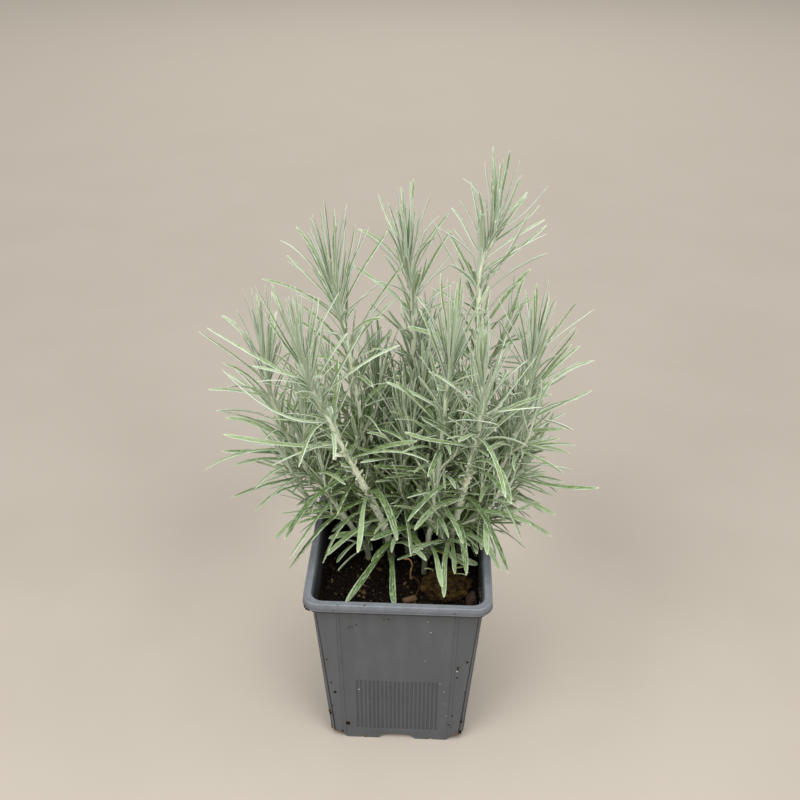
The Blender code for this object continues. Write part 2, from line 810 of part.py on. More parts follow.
def build_compost():
    bottom = FLOOR_TOP + SOIL_GAP
    low = compost_half(FLOOR_TOP + FLOOR_FILLET) - FLOOR_FILLET
    outline = rounded_square(1.0, 0.15)
    rings = [[(x * low, y * low, bottom) for x, y in rounded_square(1.0, 0.16)]]
    above = FLOOR_TOP + FLOOR_FILLET + SOIL_GAP
    side = compost_half(above)
    rings.append([(x * side, y * side, above) for x, y in outline])
    for share in SOIL_RINGS:
        ring = []
        for u, v in outline:
            half = compost_half(SOIL_LEVEL) * share
            z = soil_height(u * half, v * half)
            half = compost_half(z) * share
            ring.append((u * half, v * half, z))
        rings.append(ring)
    points = [p for ring in rings for p in ring]
    count = len(outline)
    faces = loft(rings)
    faces.append(tuple(range(count)))
    points.append((0.0, 0.0, soil_height(0.0, 0.0)))
    first = len(points) - 1 - count
    faces += [(first + k, first + (k + 1) % count, len(points) - 1) for k in range(count)]
    compost = mesh_object("compost", points, faces)
    holes = helper_collection("holes")
    wide = STEM_RADIUS + HOLE_GAP
    low_end = SOIL_LEVEL - ROOT_DEPTH - HOLE_GAP
    for controls, _, _ in STEMS.values():
        x, y = controls[0]
        shape = cylinder_points(x, y, wide, low_end, CUTTER_TOP, STEM_SIDES * 2)
        mesh_object("hole", shape, prism_faces(STEM_SIDES * 2), holes)
    x, y, z = STALK_POINTS[0]
    shape = cylinder_points(x, y, STALK_RADIUS + HOLE_GAP, z - HOLE_GAP, CUTTER_TOP, 8)
    mesh_object("hole", shape, prism_faces(8), holes)
    for cx, cy, half_x, half_y, _ in pads():
        shape = [
            (cx + (x - cx) * half_x * PAD_CUT, cy + (y - cy) * half_y * PAD_CUT, z)
            for x, y, z in cylinder_points(cx, cy, 1.0, PAD_LEVEL, CUTTER_TOP, 16)
        ]
        mesh_object("pad", shape, prism_faces(16), holes)
    apply_boolean(compost, holes, "DIFFERENCE")
    keep_largest_body(compost)
    set_material(compost, "compost", (0.018, 0.013, 0.01), 0.95)


def build_clod(name, place, seed):
    """A crumbly lump with a flat underside, resting on the compost."""
    cx, cy, half_x, half_y, height, turn = place
    rng = random.Random(seed)
    levels = ((0.0, 0.86), (0.3, 1.0), (0.68, 0.82), (0.93, 0.45))
    sides = 12
    wobble = [rng.uniform(0.9, 1.0) for _ in range(sides)]
    points = []
    for up, wide in levels:
        for k in range(sides):
            a = 2 * math.pi * k / sides + turn
            reach = wide * wobble[k] * (1.0 if up == 0.0 else rng.uniform(0.95, 1.0))
            lift = 0.0 if up == 0.0 else rng.uniform(-0.05, 0.05) * height
            x = cx + half_x * reach * math.cos(a)
            y = cy + half_y * reach * math.sin(a)
            points.append((x, y, PAD_LEVEL + HOLE_GAP + up * height + lift))
    faces = loft([range(sides)] * len(levels))
    faces.append(tuple(range(sides)))
    points.append((cx, cy, PAD_LEVEL + HOLE_GAP + height))
    first = (len(levels) - 1) * sides
    faces += [(first + k, first + (k + 1) % sides, len(points) - 1) for k in range(sides)]
    obj = mesh_object(name, points, faces)
    colour = (0.035, 0.028, 0.014) if name == "clod_mossy" else (0.05, 0.032, 0.022)
    set_material(obj, name, colour, 0.95)


def build_chip():
    """A flake of bark lying flat on the compost."""
    cx, cy, half_x, half_y, height, turn = CHIP
    outline = ((-1.0, -0.5), (-0.3, -1.0), (0.8, -0.8), (1.0, 0.1), (0.5, 0.9), (-0.8, 0.7))
    cos, sin = math.cos(turn), math.sin(turn)
    points = []
    for up, wide in ((0.0, 1.0), (1.0, 0.8)):
        for u, v in outline:
            x, y = u * half_x * wide, v * half_y * wide
            z = PAD_LEVEL + HOLE_GAP + up * height
            points.append((cx + cos * x - sin * y, cy + sin * x + cos * y, z))
    obj = mesh_object("bark_chip", points, prism_faces(len(outline)))
    set_material(obj, "bark", (0.09, 0.045, 0.02), 0.9)


def tube(curve, radii, sides):
    """Points and faces of a closed tube along a curve."""
    points = []
    side = np.array((1.0, 0.0, 0.0))
    for i, centre in enumerate(curve):
        way = unit(curve[min(i + 1, len(curve) - 1)] - curve[max(i - 1, 0)])
        side = unit(side - way * np.dot(side, way))
        other = np.cross(way, side)
        for k in range(sides):
            a = 2 * math.pi * k / sides
            points.append(centre + radii[i] * (side * math.cos(a) + other * math.sin(a)))
    faces = loft([range(sides)] * len(curve))
    faces += [tuple(range(sides)), tuple(range(len(points) - sides, len(points)))]
    return points, faces


def build_stalk():
    """A dry, looped flower stalk left in the compost."""
    curve = smooth_curve(np.array(STALK_POINTS), 3)[3:]
    curve = np.vstack([STALK_POINTS[0], curve])
    points, faces = tube(curve, [STALK_RADIUS] * len(curve), 6)
    obj = mesh_object("dry_stalk", points, faces)
    shade_round(obj, 65)
    set_material(obj, "dry_stalk", (0.3, 0.13, 0.04), 0.8)


def leaf_mesh(leaf):
    """A three-sided blade: flat above, keeled below, pointed at the tip."""
    points = []
    root, handle, tip = leaf[:3]
    bend = np.linalg.norm(handle - (root + tip) / 2) / np.linalg.norm(tip - root)
    stations, widths = LEAF_STATIONS, LEAF_WIDTHS
    if bend < STRAIGHT_BELOW:
        stations, widths = STRAIGHT_STATIONS, STRAIGHT_WIDTHS
    for i, (centre, side, up) in enumerate(leaf_frame(leaf, stations)[:-1]):
        half = leaf[3] * widths[i] / 2
        deep = max(leaf[3] * LEAF_DEPTH * widths[i], 0.75)
        points += [
            centre + side * half + up * deep * 0.4,
            centre - side * half + up * deep * 0.4,
            centre - up * deep * 0.6,
        ]
    points.append(leaf[2])
    faces = loft([range(3)] * (len(stations) - 1))
    last = len(points) - 1
    faces += [(0, 1, 2), (last - 3, last - 2, last)]
    faces += [(last - 2, last - 1, last), (last - 1, last - 3, last)]
    return points, faces


def stem_mesh(curve):
    """The stem as a tube with rings where it bends."""
    start = curve[0]
    shares = np.linspace(0.0, 1.0, STEM_RINGS)
    line = np.array([start] + [along(curve, s)[0] for s in shares])
    radii = [STEM_RADIUS] + [STEM_RADIUS + (STEM_TIP_RADIUS - STEM_RADIUS) * s for s in shares]
    return tube(line, radii, STEM_SIDES)


def build_stem(name, curve, leaves):
    points, faces = stem_mesh(curve)
    stem = mesh_object(name, points, faces)
    blades = helper_collection("blades")
    for leaf in leaves:
        mesh_object("blade", *leaf_mesh(leaf), blades)
    apply_boolean(stem, blades, "UNION", "MANIFOLD")
    keep_largest_body(stem)
    shade_round(stem, 65)
    set_material(stem, name, (0.36, 0.44, 0.34), 0.8)


def main():
    clear_scene()
    build_pot()
    build_compost()
    for seed, (name, place) in enumerate(CLODS.items()):
        build_clod(name, place, seed)
    build_chip()
    build_stalk()
    for name, (curve, leaves) in grow_plant().items():
        build_stem(name, curve, leaves)


main()
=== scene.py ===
"""Looks of the potted curry plant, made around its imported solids. Sizes are in millimetres."""

import json
import math
import random

import bmesh
import bpy
import numpy as np
from mathutils import Matrix, Vector, noise

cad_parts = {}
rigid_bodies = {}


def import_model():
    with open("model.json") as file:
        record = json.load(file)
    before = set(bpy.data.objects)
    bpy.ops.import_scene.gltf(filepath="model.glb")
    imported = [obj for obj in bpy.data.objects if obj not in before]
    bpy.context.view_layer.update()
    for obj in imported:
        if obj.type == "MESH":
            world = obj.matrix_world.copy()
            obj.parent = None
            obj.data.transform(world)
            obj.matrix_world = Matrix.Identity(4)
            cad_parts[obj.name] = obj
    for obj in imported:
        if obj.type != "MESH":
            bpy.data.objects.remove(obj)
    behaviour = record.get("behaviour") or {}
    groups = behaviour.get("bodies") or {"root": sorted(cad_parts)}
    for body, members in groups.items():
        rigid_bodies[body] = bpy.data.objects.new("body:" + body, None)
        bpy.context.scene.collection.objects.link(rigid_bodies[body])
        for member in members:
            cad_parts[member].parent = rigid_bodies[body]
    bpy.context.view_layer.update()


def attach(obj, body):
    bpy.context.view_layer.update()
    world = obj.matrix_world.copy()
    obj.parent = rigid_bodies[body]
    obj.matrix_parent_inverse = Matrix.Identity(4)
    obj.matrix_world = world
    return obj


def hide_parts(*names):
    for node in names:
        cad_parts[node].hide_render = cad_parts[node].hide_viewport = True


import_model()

MM = 0.001

# Pot, measured from the middle of its footprint on the table
RIM_HALF = 45.0
RIM_WIDTH = 3.9
RIM_TOP = 100.0
LIP_BOTTOM = 95.8
NECK_HALF = 42.3
NECK_BOTTOM = 93.2
BODY_TOP_HALF = 41.0
BODY_BOTTOM_HALF = 35.0
BODY_BOTTOM = 3.2
WALL = 1.2
FLOOR_TOP = 4.6
FLOOR_FILLET = 0.9
PANEL_STEP = 0.35
PANEL_HALF_TOP = 27.6
PANEL_HALF_BOTTOM = 26.0
RIB_COUNT = 20
RIB_PITCH = 2.1
RIB_WIDTH = 1.0
RIB_BOTTOM = 7.0
RIB_TOP = 44.0
FOOT_OUTER = 25.5
FOOT_INNER = 9.5
FOOT_SLOPE = 3.0
FOOT_DEPTH = 6.5
FOOT_NOTCH = 17.5
DRAIN_RADIUS = 4.0
DRAIN_PLACE = 16.0
DRAIN_SIDES = 28

# Compost
SOIL_LEVEL = 86.0
SOIL_GAP = 0.35
HOLE_GAP = 0.3
ROOT_DEPTH = 13.0
ROOT_RISE = 2.0

# Clods and scraps that lie on the compost: x, y, half length, half width, height, turn
CLODS = {
    "clod_mossy": (23.0, -11.7, 12.6, 11.8, 8.0, 0.3),
    "clod_corner": (35.6, -22.5, 3.1, 4.2, 6.4, 0.2),
}
CHIP = (5.4, -21.8, 4.4, 2.0, 1.6, 0.45)
PAD_LEVEL = 83.6
PAD_MARGIN = 1.22
STALK_POINTS = (
    (5.2, -5.5, 74.0), (5.2, -5.5, 87.5), (6.0, -5.8, 92.5),
    (4.8, -6.4, 96.8), (2.0, -6.6, 97.4),
)
STALK_RADIUS = 0.55

# Leafy stems: points from the compost up to where the leaf tuft opens, how many leaves grow by
# rule, and how long the tuft's leaves are
STEMS = {
    "stem_tall": (
        ((20, 16), (29, 14, 130), (35, 13, 190), (33, 9, 246), (38, 8, 263), (39, 7, 272)), 24, 32,
    ),
    "stem_middle": (((6, 25), (5, 25, 150), (4, 24, 215), (1, 22, 251)), 25, 34),
    "stem_left": (((-9, 19), (-17, 14, 140), (-25, 10, 206), (-31, 5, 241)), 26, 40),
    "stem_front_left": (
        ((-5, 7), (-8, 4, 108), (-17, -2, 136), (-29, -13, 173), (-38, -22, 204), (-42, -26, 219)), 22, 40,
    ),
    "stem_far_left": (
        ((-17, 9), (-33, 8, 119), (-48, 3, 148), (-59, -3, 184), (-61, -8, 209)), 24, 39,
    ),
    "stem_centre": (((12, 0), (17, 0, 135), (20, -8, 190), (22, -11, 215)), 25, 42),
    "stem_front_right": (
        ((22, 4), (27, -2, 120), (32, -9, 154), (36, -17, 192), (35, -20, 206)), 25, 38,
    ),
    "stem_right": (((29, 12), (39, 9, 118), (50, 4, 154), (57, 0, 186), (58, -4, 212)), 23, 38),
    "stem_inner": (((3, 13), (2, 9, 125), (1, 4, 167)), 20, 34),
    "stem_back_left": (((-6, 31), (-11, 35, 130), (-14, 37, 176)), 19, 33),
    "stem_back_right": (((13, 33), (13, 36, 140), (9, 36, 186)), 19, 33),
    "stem_outer_left": (((-21, 24), (-36, 32, 120), (-50, 37, 158)), 20, 33),
    "stem_outer_right": (((27, 27), (43, 33, 118), (56, 37, 156)), 20, 33),
    "stem_rear": (((4, 37), (3, 41, 118), (2, 45, 150)), 15, 32),
}
STEM_RADIUS = 1.55
STEM_TIP_RADIUS = 0.9

# Leaves that stand out in the picture, by stem: height of the root, tip, how far the middle is
# lifted off the straight line, and width
MARKED_LEAVES = {
    "stem_tall": (
        (271, (43, 6, 303), 0, 2.0), (269, (47, 4, 300), -1, 2.0), (268, (24, 5, 291), 4, 2.0),
        (258, (31, -4, 289), 0, 3.0), (257, (23, 10, 280), 2, 2.2), (254, (20, 18, 273), 1, 2.2),
        (238, (12, 4, 273), -4, 2.4), (271, (52, 15, 282), 0, 1.9), (267, (60, 9, 287), -3, 2.0),
        (260, (58, 18, 275), -1, 2.0), (252, (59, 3, 275), 1, 2.2), (243, (61, 13, 268), 0, 2.4),
        (238, (52, 3, 277), -4, 2.6),
    ),
    "stem_middle": (
        (248, (15, 26, 266), 2, 2.0), (244, (19, 22, 269), 0, 2.0), (237, (-21, 23, 260), 4, 2.4),
        (229, (7, 3, 249), 0, 3.0), (226, (25, 30, 251), 0, 2.2), (251, (-12, 24, 276), -2, 2.0),
    ),
    "stem_left": (
        (236, (-24, 6, 279), 1, 2.2), (238, (-28, 8, 273), 0, 2.0), (227, (-46, 6, 268), 4, 2.2),
        (230, (-54, 11, 259), 6, 2.0), (233, (-15, 9, 267), 1, 2.0), (226, (-7, 6, 267), 2, 2.6),
        (220, (-64, 17, 238), 4, 2.2), (208, (0, -2, 256), 1, 2.6),
    ),
    "stem_front_left": (
        (206, (-84, -15, 229), 0, 2.4), (184, (-78, -20, 212), -8, 2.8), (167, (-80, -19, 177), -2, 2.8),
        (209, (-61, -37, 223), 1, 2.2), (205, (-58, -44, 220), 2, 2.2), (193, (-15, -27, 238), 1, 3.2),
        (198, (0, -24, 228), 3, 2.4), (218, (-25, -28, 254), 1, 2.2), (218, (-59, -30, 257), -1, 2.2),
        (218, (-47, -46, 256), 0, 2.8), (147, (-55, -21, 119), 8, 3.0), (129, (-54, -22, 100), 8, 3.2),
        (134, (-1, -27, 125), 11, 3.6), (96, (-25, -34, 92), 3, 3.2), (92, (-1, -37, 94), 0, 3.2),
        (116, (-36, -12, 102), 3, 2.8), (121, (-37, -21, 105), 10, 2.6), (158, (13, -22, 167), 5, 2.6),
        (95, (13, -18, 106), 6, 2.6), (184, (-39, -70, 196), 4, 2.6),
    ),
    "stem_far_left": (
        (196, (-89, -9, 224), 1, 2.2), (208, (-80, -2, 228), 4, 2.2), (161, (-83, 3, 172), 2, 2.6),
        (155, (-94, -4, 146), 6, 2.8), (145, (-69, -11, 141), 5, 2.6), (138, (-83, -1, 128), 2, 2.8),
        (117, (-64, 2, 100), 6, 2.6),
    ),
    "stem_centre": (
        (207, (6, -8, 243), 7, 2.2), (174, (-2, -19, 207), 1, 2.8),
    ),
    "stem_front_right": (
        (148, (4, -30, 139), 7, 3.2), (134, (7, -21, 127), 5, 3.0), (137, (52, -28, 108), 9, 3.2),
        (108, (49, -22, 105), 9, 2.6), (158, (51, -32, 154), 10, 2.8), (116, (32, -31, 109), 13, 3.2),
        (107, (27, -21, 101), 0, 2.6), (169, (2, -24, 184), -1, 2.4), (179, (58, -20, 222), 0, 2.4),
        (176, (45, -70, 184), 5, 2.6),
    ),
    "stem_right": (
        (118, (74, -5, 113), 5, 2.8), (128, (76, 4, 119), 3, 2.6), (144, (95, 1, 139), -3, 2.6),
        (156, (82, 4, 161), 2, 2.4), (173, (86, -2, 195), 0, 2.4), (196, (76, -5, 228), -1, 2.4),
        (197, (80, 8, 204), -1, 2.0), (187, (72, -14, 210), 0, 2.4), (212, (82, -6, 238), 1, 2.2),
        (212, (74, -14, 245), 0, 2.0), (212, (41, 0, 240), -2, 2.2),
    ),
}

# Growth rule: shares of the stem's height, angles turned into radians, and the room that a leaf
# takes, as points along it with its half widths between them
GOLDEN_ANGLE = math.radians(137.508)
TUFT_LEAVES = 12
LEAF_GAP = 0.35
ROOT_OFFSET = 0.35
TUFT_SPACING = 0.009
TUFT_START = 0.89
TUFT_UPRIGHT = 2.0
TRIES = 26
ROOM_SHARES = (0.0, 0.2, 0.4, 0.6, 0.8, 1.0)
ROOM_WIDTHS = (0.36, 0.5, 0.52, 0.46, 0.3)
INSIDE_HALF = 39.5
RIM_CLEARANCE = 1.6
LOWEST_LEAF = 20.0
RULED_CEILING = 1.3
MARKED_CEILING = 0.6
TOP_RULED = 0.9
RULED_SPAN = 0.84
RULED_ROLL = 0.35
SWING = math.radians(9)
WIDEN = math.radians(5)
SHORTEN = 0.012

# Leaves of the tufts: opening at the middle and how much more outside, loss of length outside,
# and the ranges that vary them, angles in degrees
TUFT_OPENING = (3, 25)
TUFT_LOSS = 4
TUFT_OPENING_RANGE = (-3, 5)
TUFT_LENGTH_RANGE = (-3, 3)
TUFT_BOW_RANGE = (-6, 10)
TUFT_WIDTHS = (1.9, 2.3)

# Leaves below the tufts, the same, from low to high on the stem
RULED_OPENING = (78, 46)
RULED_LENGTH = (30, 7)
RULED_OPENING_RANGE = (-9, 9)
RULED_LENGTH_RANGE = (-4, 4)
RULED_BOW_RANGE = (0, 18)
RULED_DROOP = 0.16
RULED_DROOP_RANGE = (0.3, 1.5)
RULED_WIDTHS = (2.2, 2.7)


# Vectors


def unit(v):
    return v / max(np.linalg.norm(v), 1e-9)


def turned(v, axis, angle):
    """The vector v turned about a unit axis."""
    return (
        v * math.cos(angle)
        + np.cross(axis, v) * math.sin(angle)
        + axis * np.dot(axis, v) * (1 - math.cos(angle))
    )


# Stem curves


def stem_controls(name):
    """The stem's points, with a straight piece down into its hole."""
    points = STEMS[name][0]
    x, y = points[0]
    below = [(x, y, SOIL_LEVEL - ROOT_DEPTH), (x, y, SOIL_LEVEL + ROOT_RISE)]
    return np.array(below + [tuple(p) for p in points[1:]], float)


def smooth_curve(controls, per_span=8):
    """A Catmull-Rom curve through the controls. The first span stays straight."""
    ends = np.vstack([2 * controls[0] - controls[1], controls, 2 * controls[-1] - controls[-2]])
    found = [controls[0]]
    for i in range(1, len(ends) - 2):
        a, b, c, d = ends[i - 1 : i + 3]
        for k in range(1, per_span + 1):
            t = k / per_span
            if i == 1:
                found.append(b + (c - b) * t)
                continue
            bends = (2 * a - 5 * b + 4 * c - d) * t * t
            found.append(0.5 * (2 * b + (c - a) * t + bends + (3 * b - a - 3 * c + d) * t**3))
    return np.array(found)


def along(curve, share):
    """The point and the direction at a share of the curve's length above the compost."""
    steps = np.linalg.norm(np.diff(curve, axis=0), axis=1)
    lengths = np.concatenate([[0.0], np.cumsum(steps)])
    start = ROOT_DEPTH + ROOT_RISE
    at = start + share * (lengths[-1] - start)
    i = int(np.clip(np.searchsorted(lengths, at) - 1, 0, len(steps) - 1))
    t = (at - lengths[i]) / steps[i]
    return curve[i] + (curve[i + 1] - curve[i]) * t, unit(curve[i + 1] - curve[i])


# Leaves as curved lines: root, middle handle, tip, width and the side that the blade faces


def leaf_points(leaf, shares):
    root, handle, tip = leaf[:3]
    t = np.asarray(shares)[:, None]
    return root * (1 - t) ** 2 + 2 * handle * t * (1 - t) + tip * t * t


def outward(axis, turn):
    """The direction that points away from an axis at a turn around it."""
    side = unit(np.cross(axis, (math.cos(turn), math.sin(turn), 0.02)))
    return unit(np.cross(side, axis))


def slanted(axis, out, angle):
    return axis * math.cos(angle) + out * math.sin(angle)


def bent_line(root, axis, out, opening, closing, length):
    """Handle and tip of a leaf whose halves slant away from the axis by opening and by closing."""
    handle = root + slanted(axis, out, opening) * length * 0.5
    return handle, handle + slanted(axis, out, closing) * length * 0.5


def ruled_leaf(curve, share, turn, opening, length, bow, droop, width, roll):
    """A leaf that leaves the stem at an angle, bows outwards by bow and sags by droop."""
    root, axis = along(curve, share)
    if share > TUFT_START:
        axis = unit(axis + np.array((0, 0, TUFT_UPRIGHT)))
    out = outward(axis, turn)
    root = root + out * ROOT_OFFSET
    handle, tip = bent_line(root, axis, out, opening, opening + bow, length)
    return root, handle, tip - np.array((0, 0, droop * length)), width, axis, roll


def marked_leaf(curve, root_height, tip, lift, width):
    """A leaf from a height on the stem to a given tip, its middle lifted off the straight line."""
    share = float(np.interp(root_height, *share_heights(curve)))
    root, axis = along(curve, share)
    tip = np.array(tip, float)
    handle = (root + tip) / 2 + np.array((0, 0, 2.0 * lift))
    return root, handle, tip, width, axis, 0.0


def share_heights(curve):
    shares = np.linspace(0, 1, 40)
    return [along(curve, s)[0][2] for s in shares], shares


# Room between the leaves of different stems


def segment_distances(p, q, a, b):
    """Least distance of each segment p-q from each segment a-b."""
    d1 = (q - p)[:, None, :]
    d2 = (b - a)[None, :, :]
    r = p[:, None, :] - a[None, :, :]
    aa = (d1 * d1).sum(2)
    ee = (d2 * d2).sum(2)
    f = (d2 * r).sum(2)
    c = (d1 * r).sum(2)
    bb = (d1 * d2).sum(2)
    den = np.maximum(aa * ee - bb * bb, 1e-9)
    s = np.clip((bb * f - c * ee) / den, 0, 1)
    t = np.clip((bb * s + f) / np.maximum(ee, 1e-9), 0, 1)
    s = np.clip((bb * t - c) / np.maximum(aa, 1e-9), 0, 1)
    gap = r + d1 * s[..., None] - d2 * t[..., None]
    return np.sqrt((gap * gap).sum(2))


class Room:
    """The space taken by every stem and leaf so far, as segments with a radius. A leaf has room if
    it keeps the gap from every segment of another stem whose middle is within reach."""

    def __init__(self, gap, reach):
        self.gap = gap
        self.reach = reach
        self.start = np.zeros((0, 3))
        self.end = np.zeros((0, 3))
        self.radius = np.zeros(0)
        self.owner = np.zeros(0, int)

    def add(self, points, radii, owner):
        n = len(points) - 1
        self.start = np.vstack([self.start, points[:-1]])
        self.end = np.vstack([self.end, points[1:]])
        self.radius = np.concatenate([self.radius, radii])
        self.owner = np.concatenate([self.owner, np.full(n, owner)])

    def free(self, points, radii, owner):
        away = np.linalg.norm((self.start + self.end) / 2 - points.mean(axis=0), axis=1)
        near = (away < self.reach) & (self.owner != owner)
        if not near.any():
            return True
        gaps = segment_distances(points[:-1], points[1:], self.start[near], self.end[near])
        need = np.asarray(radii)[:, None] + self.radius[near][None, :] + self.gap
        return bool((gaps > need).all())

    def take(self, leaf, owner, ceiling):
        """Adds the leaf if it is clear of the pot and of its neighbours, and says if it was."""
        points, radii = leaf_room(leaf)
        fits = clear_of_pot(points, ceiling) and self.free(points, radii, owner)
        if fits:
            self.add(points, radii, owner)
        return fits


def leaf_room(leaf):
    return leaf_points(leaf, ROOM_SHARES), [leaf[3] * w for w in ROOM_WIDTHS]


def clear_of_pot(points, ceiling):
    for x, y, z in points[1:]:
        out = max(abs(x), abs(y))
        if out < INSIDE_HALF:
            if z < ground_height(x, y) + ceiling:
                return False
        elif out < RIM_HALF + RIM_CLEARANCE:
            if z < RIM_TOP + ceiling:
                return False
        elif z < LOWEST_LEAF:
            return False
    return True


# Compost relief


def pads():
    """Level places in the compost for the clods and the chip: x, y, half sizes and height on top."""
    places = [place[:5] for place in CLODS.values()]
    x, y, half, _, height, _ = CHIP
    return places + [(x, y, half, half, height)]


def pad_share(x, y):
    """1 where a clod or the chip lies, falling to 0 around it."""
    best = 0.0
    for cx, cy, half_x, half_y, _ in pads():
        reach = math.hypot((x - cx) / (half_x * PAD_MARGIN), (y - cy) / (half_y * PAD_MARGIN))
        best = max(best, min(1.0, max(0.0, 4.0 * (1.35 - reach))))
    return best


def soil_height(x, y):
    bumps = (
        1.1 * math.sin(0.16 * x + 0.6) * math.cos(0.13 * y + 0.4)
        + 0.6 * math.sin(0.41 * x - 0.27 * y)
        + 0.4 * math.sin(0.23 * x + 0.52 * y + 1.1)
    )
    mound = 2.0 * math.exp(-((x - 6) ** 2 + (y - 18) ** 2) / 500.0)
    loose = SOIL_LEVEL - 1.6 + bumps + mound
    share = pad_share(x, y)
    return loose + (PAD_LEVEL - loose) * share


def ground_height(x, y):
    """Top of the compost or of what lies on it."""
    top = soil_height(x, y)
    for cx, cy, half_x, half_y, height in pads():
        reach = math.hypot((x - cx) / half_x, (y - cy) / half_y)
        if reach < 1.15:
            top = max(top, PAD_LEVEL + HOLE_GAP + height)
    return top


# Growing


def leaf_rule(rng, share, tuft):
    """Opening angle, length, outward bow, sag and width for a leaf at a share of the stem's height."""
    if tuft:
        outer = (1 - share) / (TUFT_SPACING * TUFT_LEAVES)
        inner_opening, spread = TUFT_OPENING
        opening = math.radians(inner_opening + spread * outer + rng.uniform(*TUFT_OPENING_RANGE))
        length = tuft - TUFT_LOSS * outer + rng.uniform(*TUFT_LENGTH_RANGE)
        bow = math.radians(rng.uniform(*TUFT_BOW_RANGE))
        return opening, length, bow, 0.0, rng.uniform(*TUFT_WIDTHS)
    upper = min(1.0, max(0.0, (share - 0.25) / 0.75))
    low_opening, closing = RULED_OPENING
    opening = math.radians(low_opening - closing * upper + rng.uniform(*RULED_OPENING_RANGE))
    swell = math.sin(math.pi * min(1.0, 0.25 + 0.75 * upper))
    length = RULED_LENGTH[0] + RULED_LENGTH[1] * swell + rng.uniform(*RULED_LENGTH_RANGE)
    bow = math.radians(rng.uniform(*RULED_BOW_RANGE))
    droop = RULED_DROOP * (1 - upper) ** 2 * rng.uniform(*RULED_DROOP_RANGE)
    return opening, length, bow, droop, rng.uniform(*RULED_WIDTHS) + 0.5 * (1 - upper)


def place_leaf(room, owner, curve, rng, share, turn, tuft=None):
    """The leaf as the rule gives it, or turned, opened or shortened until it has room, in a list
    that stays empty if no try has room."""
    opening, length, bow, droop, width = leaf_rule(rng, share, tuft)
    roll = rng.uniform(-RULED_ROLL, RULED_ROLL)
    for attempt in range(TRIES):
        swing = SWING * (attempt // 2) * (1 if attempt % 2 else -1)
        wider = WIDEN * (attempt % 3 - 1) * (attempt > 5)
        cut = 1.0 - SHORTEN * attempt
        shape = (opening + wider, length * cut, bow, droop, width, roll)
        leaf = ruled_leaf(curve, share, turn + swing, *shape)
        if room.take(leaf, owner, RULED_CEILING):
            return [leaf]
    return []


def grow_marked_leaves(room, curves, leaves):
    """The leaves that stand out in the picture, where they have room."""
    for name, rows in MARKED_LEAVES.items():
        owner = list(STEMS).index(name)
        for row in rows:
            leaf = marked_leaf(curves[name], *row)
            if room.take(leaf, owner, MARKED_CEILING):
                leaves[name].append(leaf)


def grow_ruled_leaf(room, owner, name, curve, rng, k):
    """The leaf number k below the tuft, if the stem has so many."""
    ruled = STEMS[name][1] - TUFT_LEAVES
    if k >= ruled:
        return []
    rank = (k + 0.5 + rng.uniform(-0.2, 0.2)) / ruled
    turn = (TUFT_LEAVES + k) * GOLDEN_ANGLE + owner
    return place_leaf(room, owner, curve, rng, TOP_RULED - RULED_SPAN * rank**1.35, turn)


def stem_radii(count):
    return np.linspace(STEM_RADIUS, STEM_TIP_RADIUS, count)


def grow_plant():
    """Every stem's curve and its leaves, as {name: (curve, leaves)}."""
    room = Room(LEAF_GAP, math.inf)
    names = list(STEMS)
    curves = {name: smooth_curve(stem_controls(name)) for name in names}
    leaves = {name: [] for name in names}
    for owner, name in enumerate(names):
        room.add(curves[name], stem_radii(len(curves[name]) - 1), owner)
    stalk = smooth_curve(np.array(STALK_POINTS))
    room.add(stalk, [STALK_RADIUS] * (len(stalk) - 1), len(names))
    grow_marked_leaves(room, curves, leaves)
    rngs = {name: random.Random(100 + i) for i, name in enumerate(names)}
    for k in range(TUFT_LEAVES):
        for owner, name in enumerate(names):
            turn = k * GOLDEN_ANGLE + owner
            share = 1.0 - TUFT_SPACING * k
            tuft = STEMS[name][2]
            leaves[name] += place_leaf(room, owner, curves[name], rngs[name], share, turn, tuft)
    for k in range(max(count for _, count, _ in STEMS.values())):
        for owner, name in enumerate(names):
            leaves[name] += grow_ruled_leaf(room, owner, name, curves[name], rngs[name], k)
    return {name: (curves[name], leaves[name]) for name in names}


# Fine growth: every leaf of the solids again, with many thin ones between them


# Side shoots: shares of the stem's height, and ranges for their own length and slant and for their
# leaves' length and width
SIDE_SHARES = (0.14, 0.22, 0.3, 0.38, 0.46, 0.56)
SIDE_LEAVES = 18
SIDE_RADIUS = 0.75
SIDE_TIP_RADIUS = 0.4
SIDE_TURN = 1.7
SIDE_UPRIGHT = 1.6
SIDE_LENGTHS = (24, 42)
SIDE_SLANTS = (26, 46)
SIDE_LEAF_LENGTHS = (18, 29)
SIDE_LEAF_WIDTHS = (1.0, 1.6)

# Thin leaves in the tufts and along the stems, by shares of the stem's height, and how far any
# thin leaf may roll about its line
ROLL = 0.6
EXTRA_TUFT = 20
TUFT_DEPTH = 0.12
FINE_TUFT_SHARES = (0.66, 0.98)
FINE_TUFT_BOWS = (-7, 10)
FINE_TUFT_WIDTHS = (0.8, 1.3)
TUFT_TURN = 1.3
EXTRA_RULED = 50
THIN_TOP = 0.9
THIN_DEPTH = 0.78
THIN_LENGTHS = (24, 38)
THIN_WIDTHS = (1.0, 1.7)
THIN_TURN = 2.1
THIN_SWING = math.radians(13)
THIN_CUT = 0.85
LOW_SHARE = 0.34
LOW_KEPT = 0.5

# Broad leaves near the compost: where they begin and how far up they reach, and ranges for
# opening, length, bow, sag, width and roll
BASAL_LEAVES = 7
BASAL_FOOT = 0.02
BASAL_RISE = 0.13
BASAL_RANGES = ((40, 86), (17, 33), (14, 56), (0.0, 0.2), (2.2, 3.3), (-0.5, 0.5))

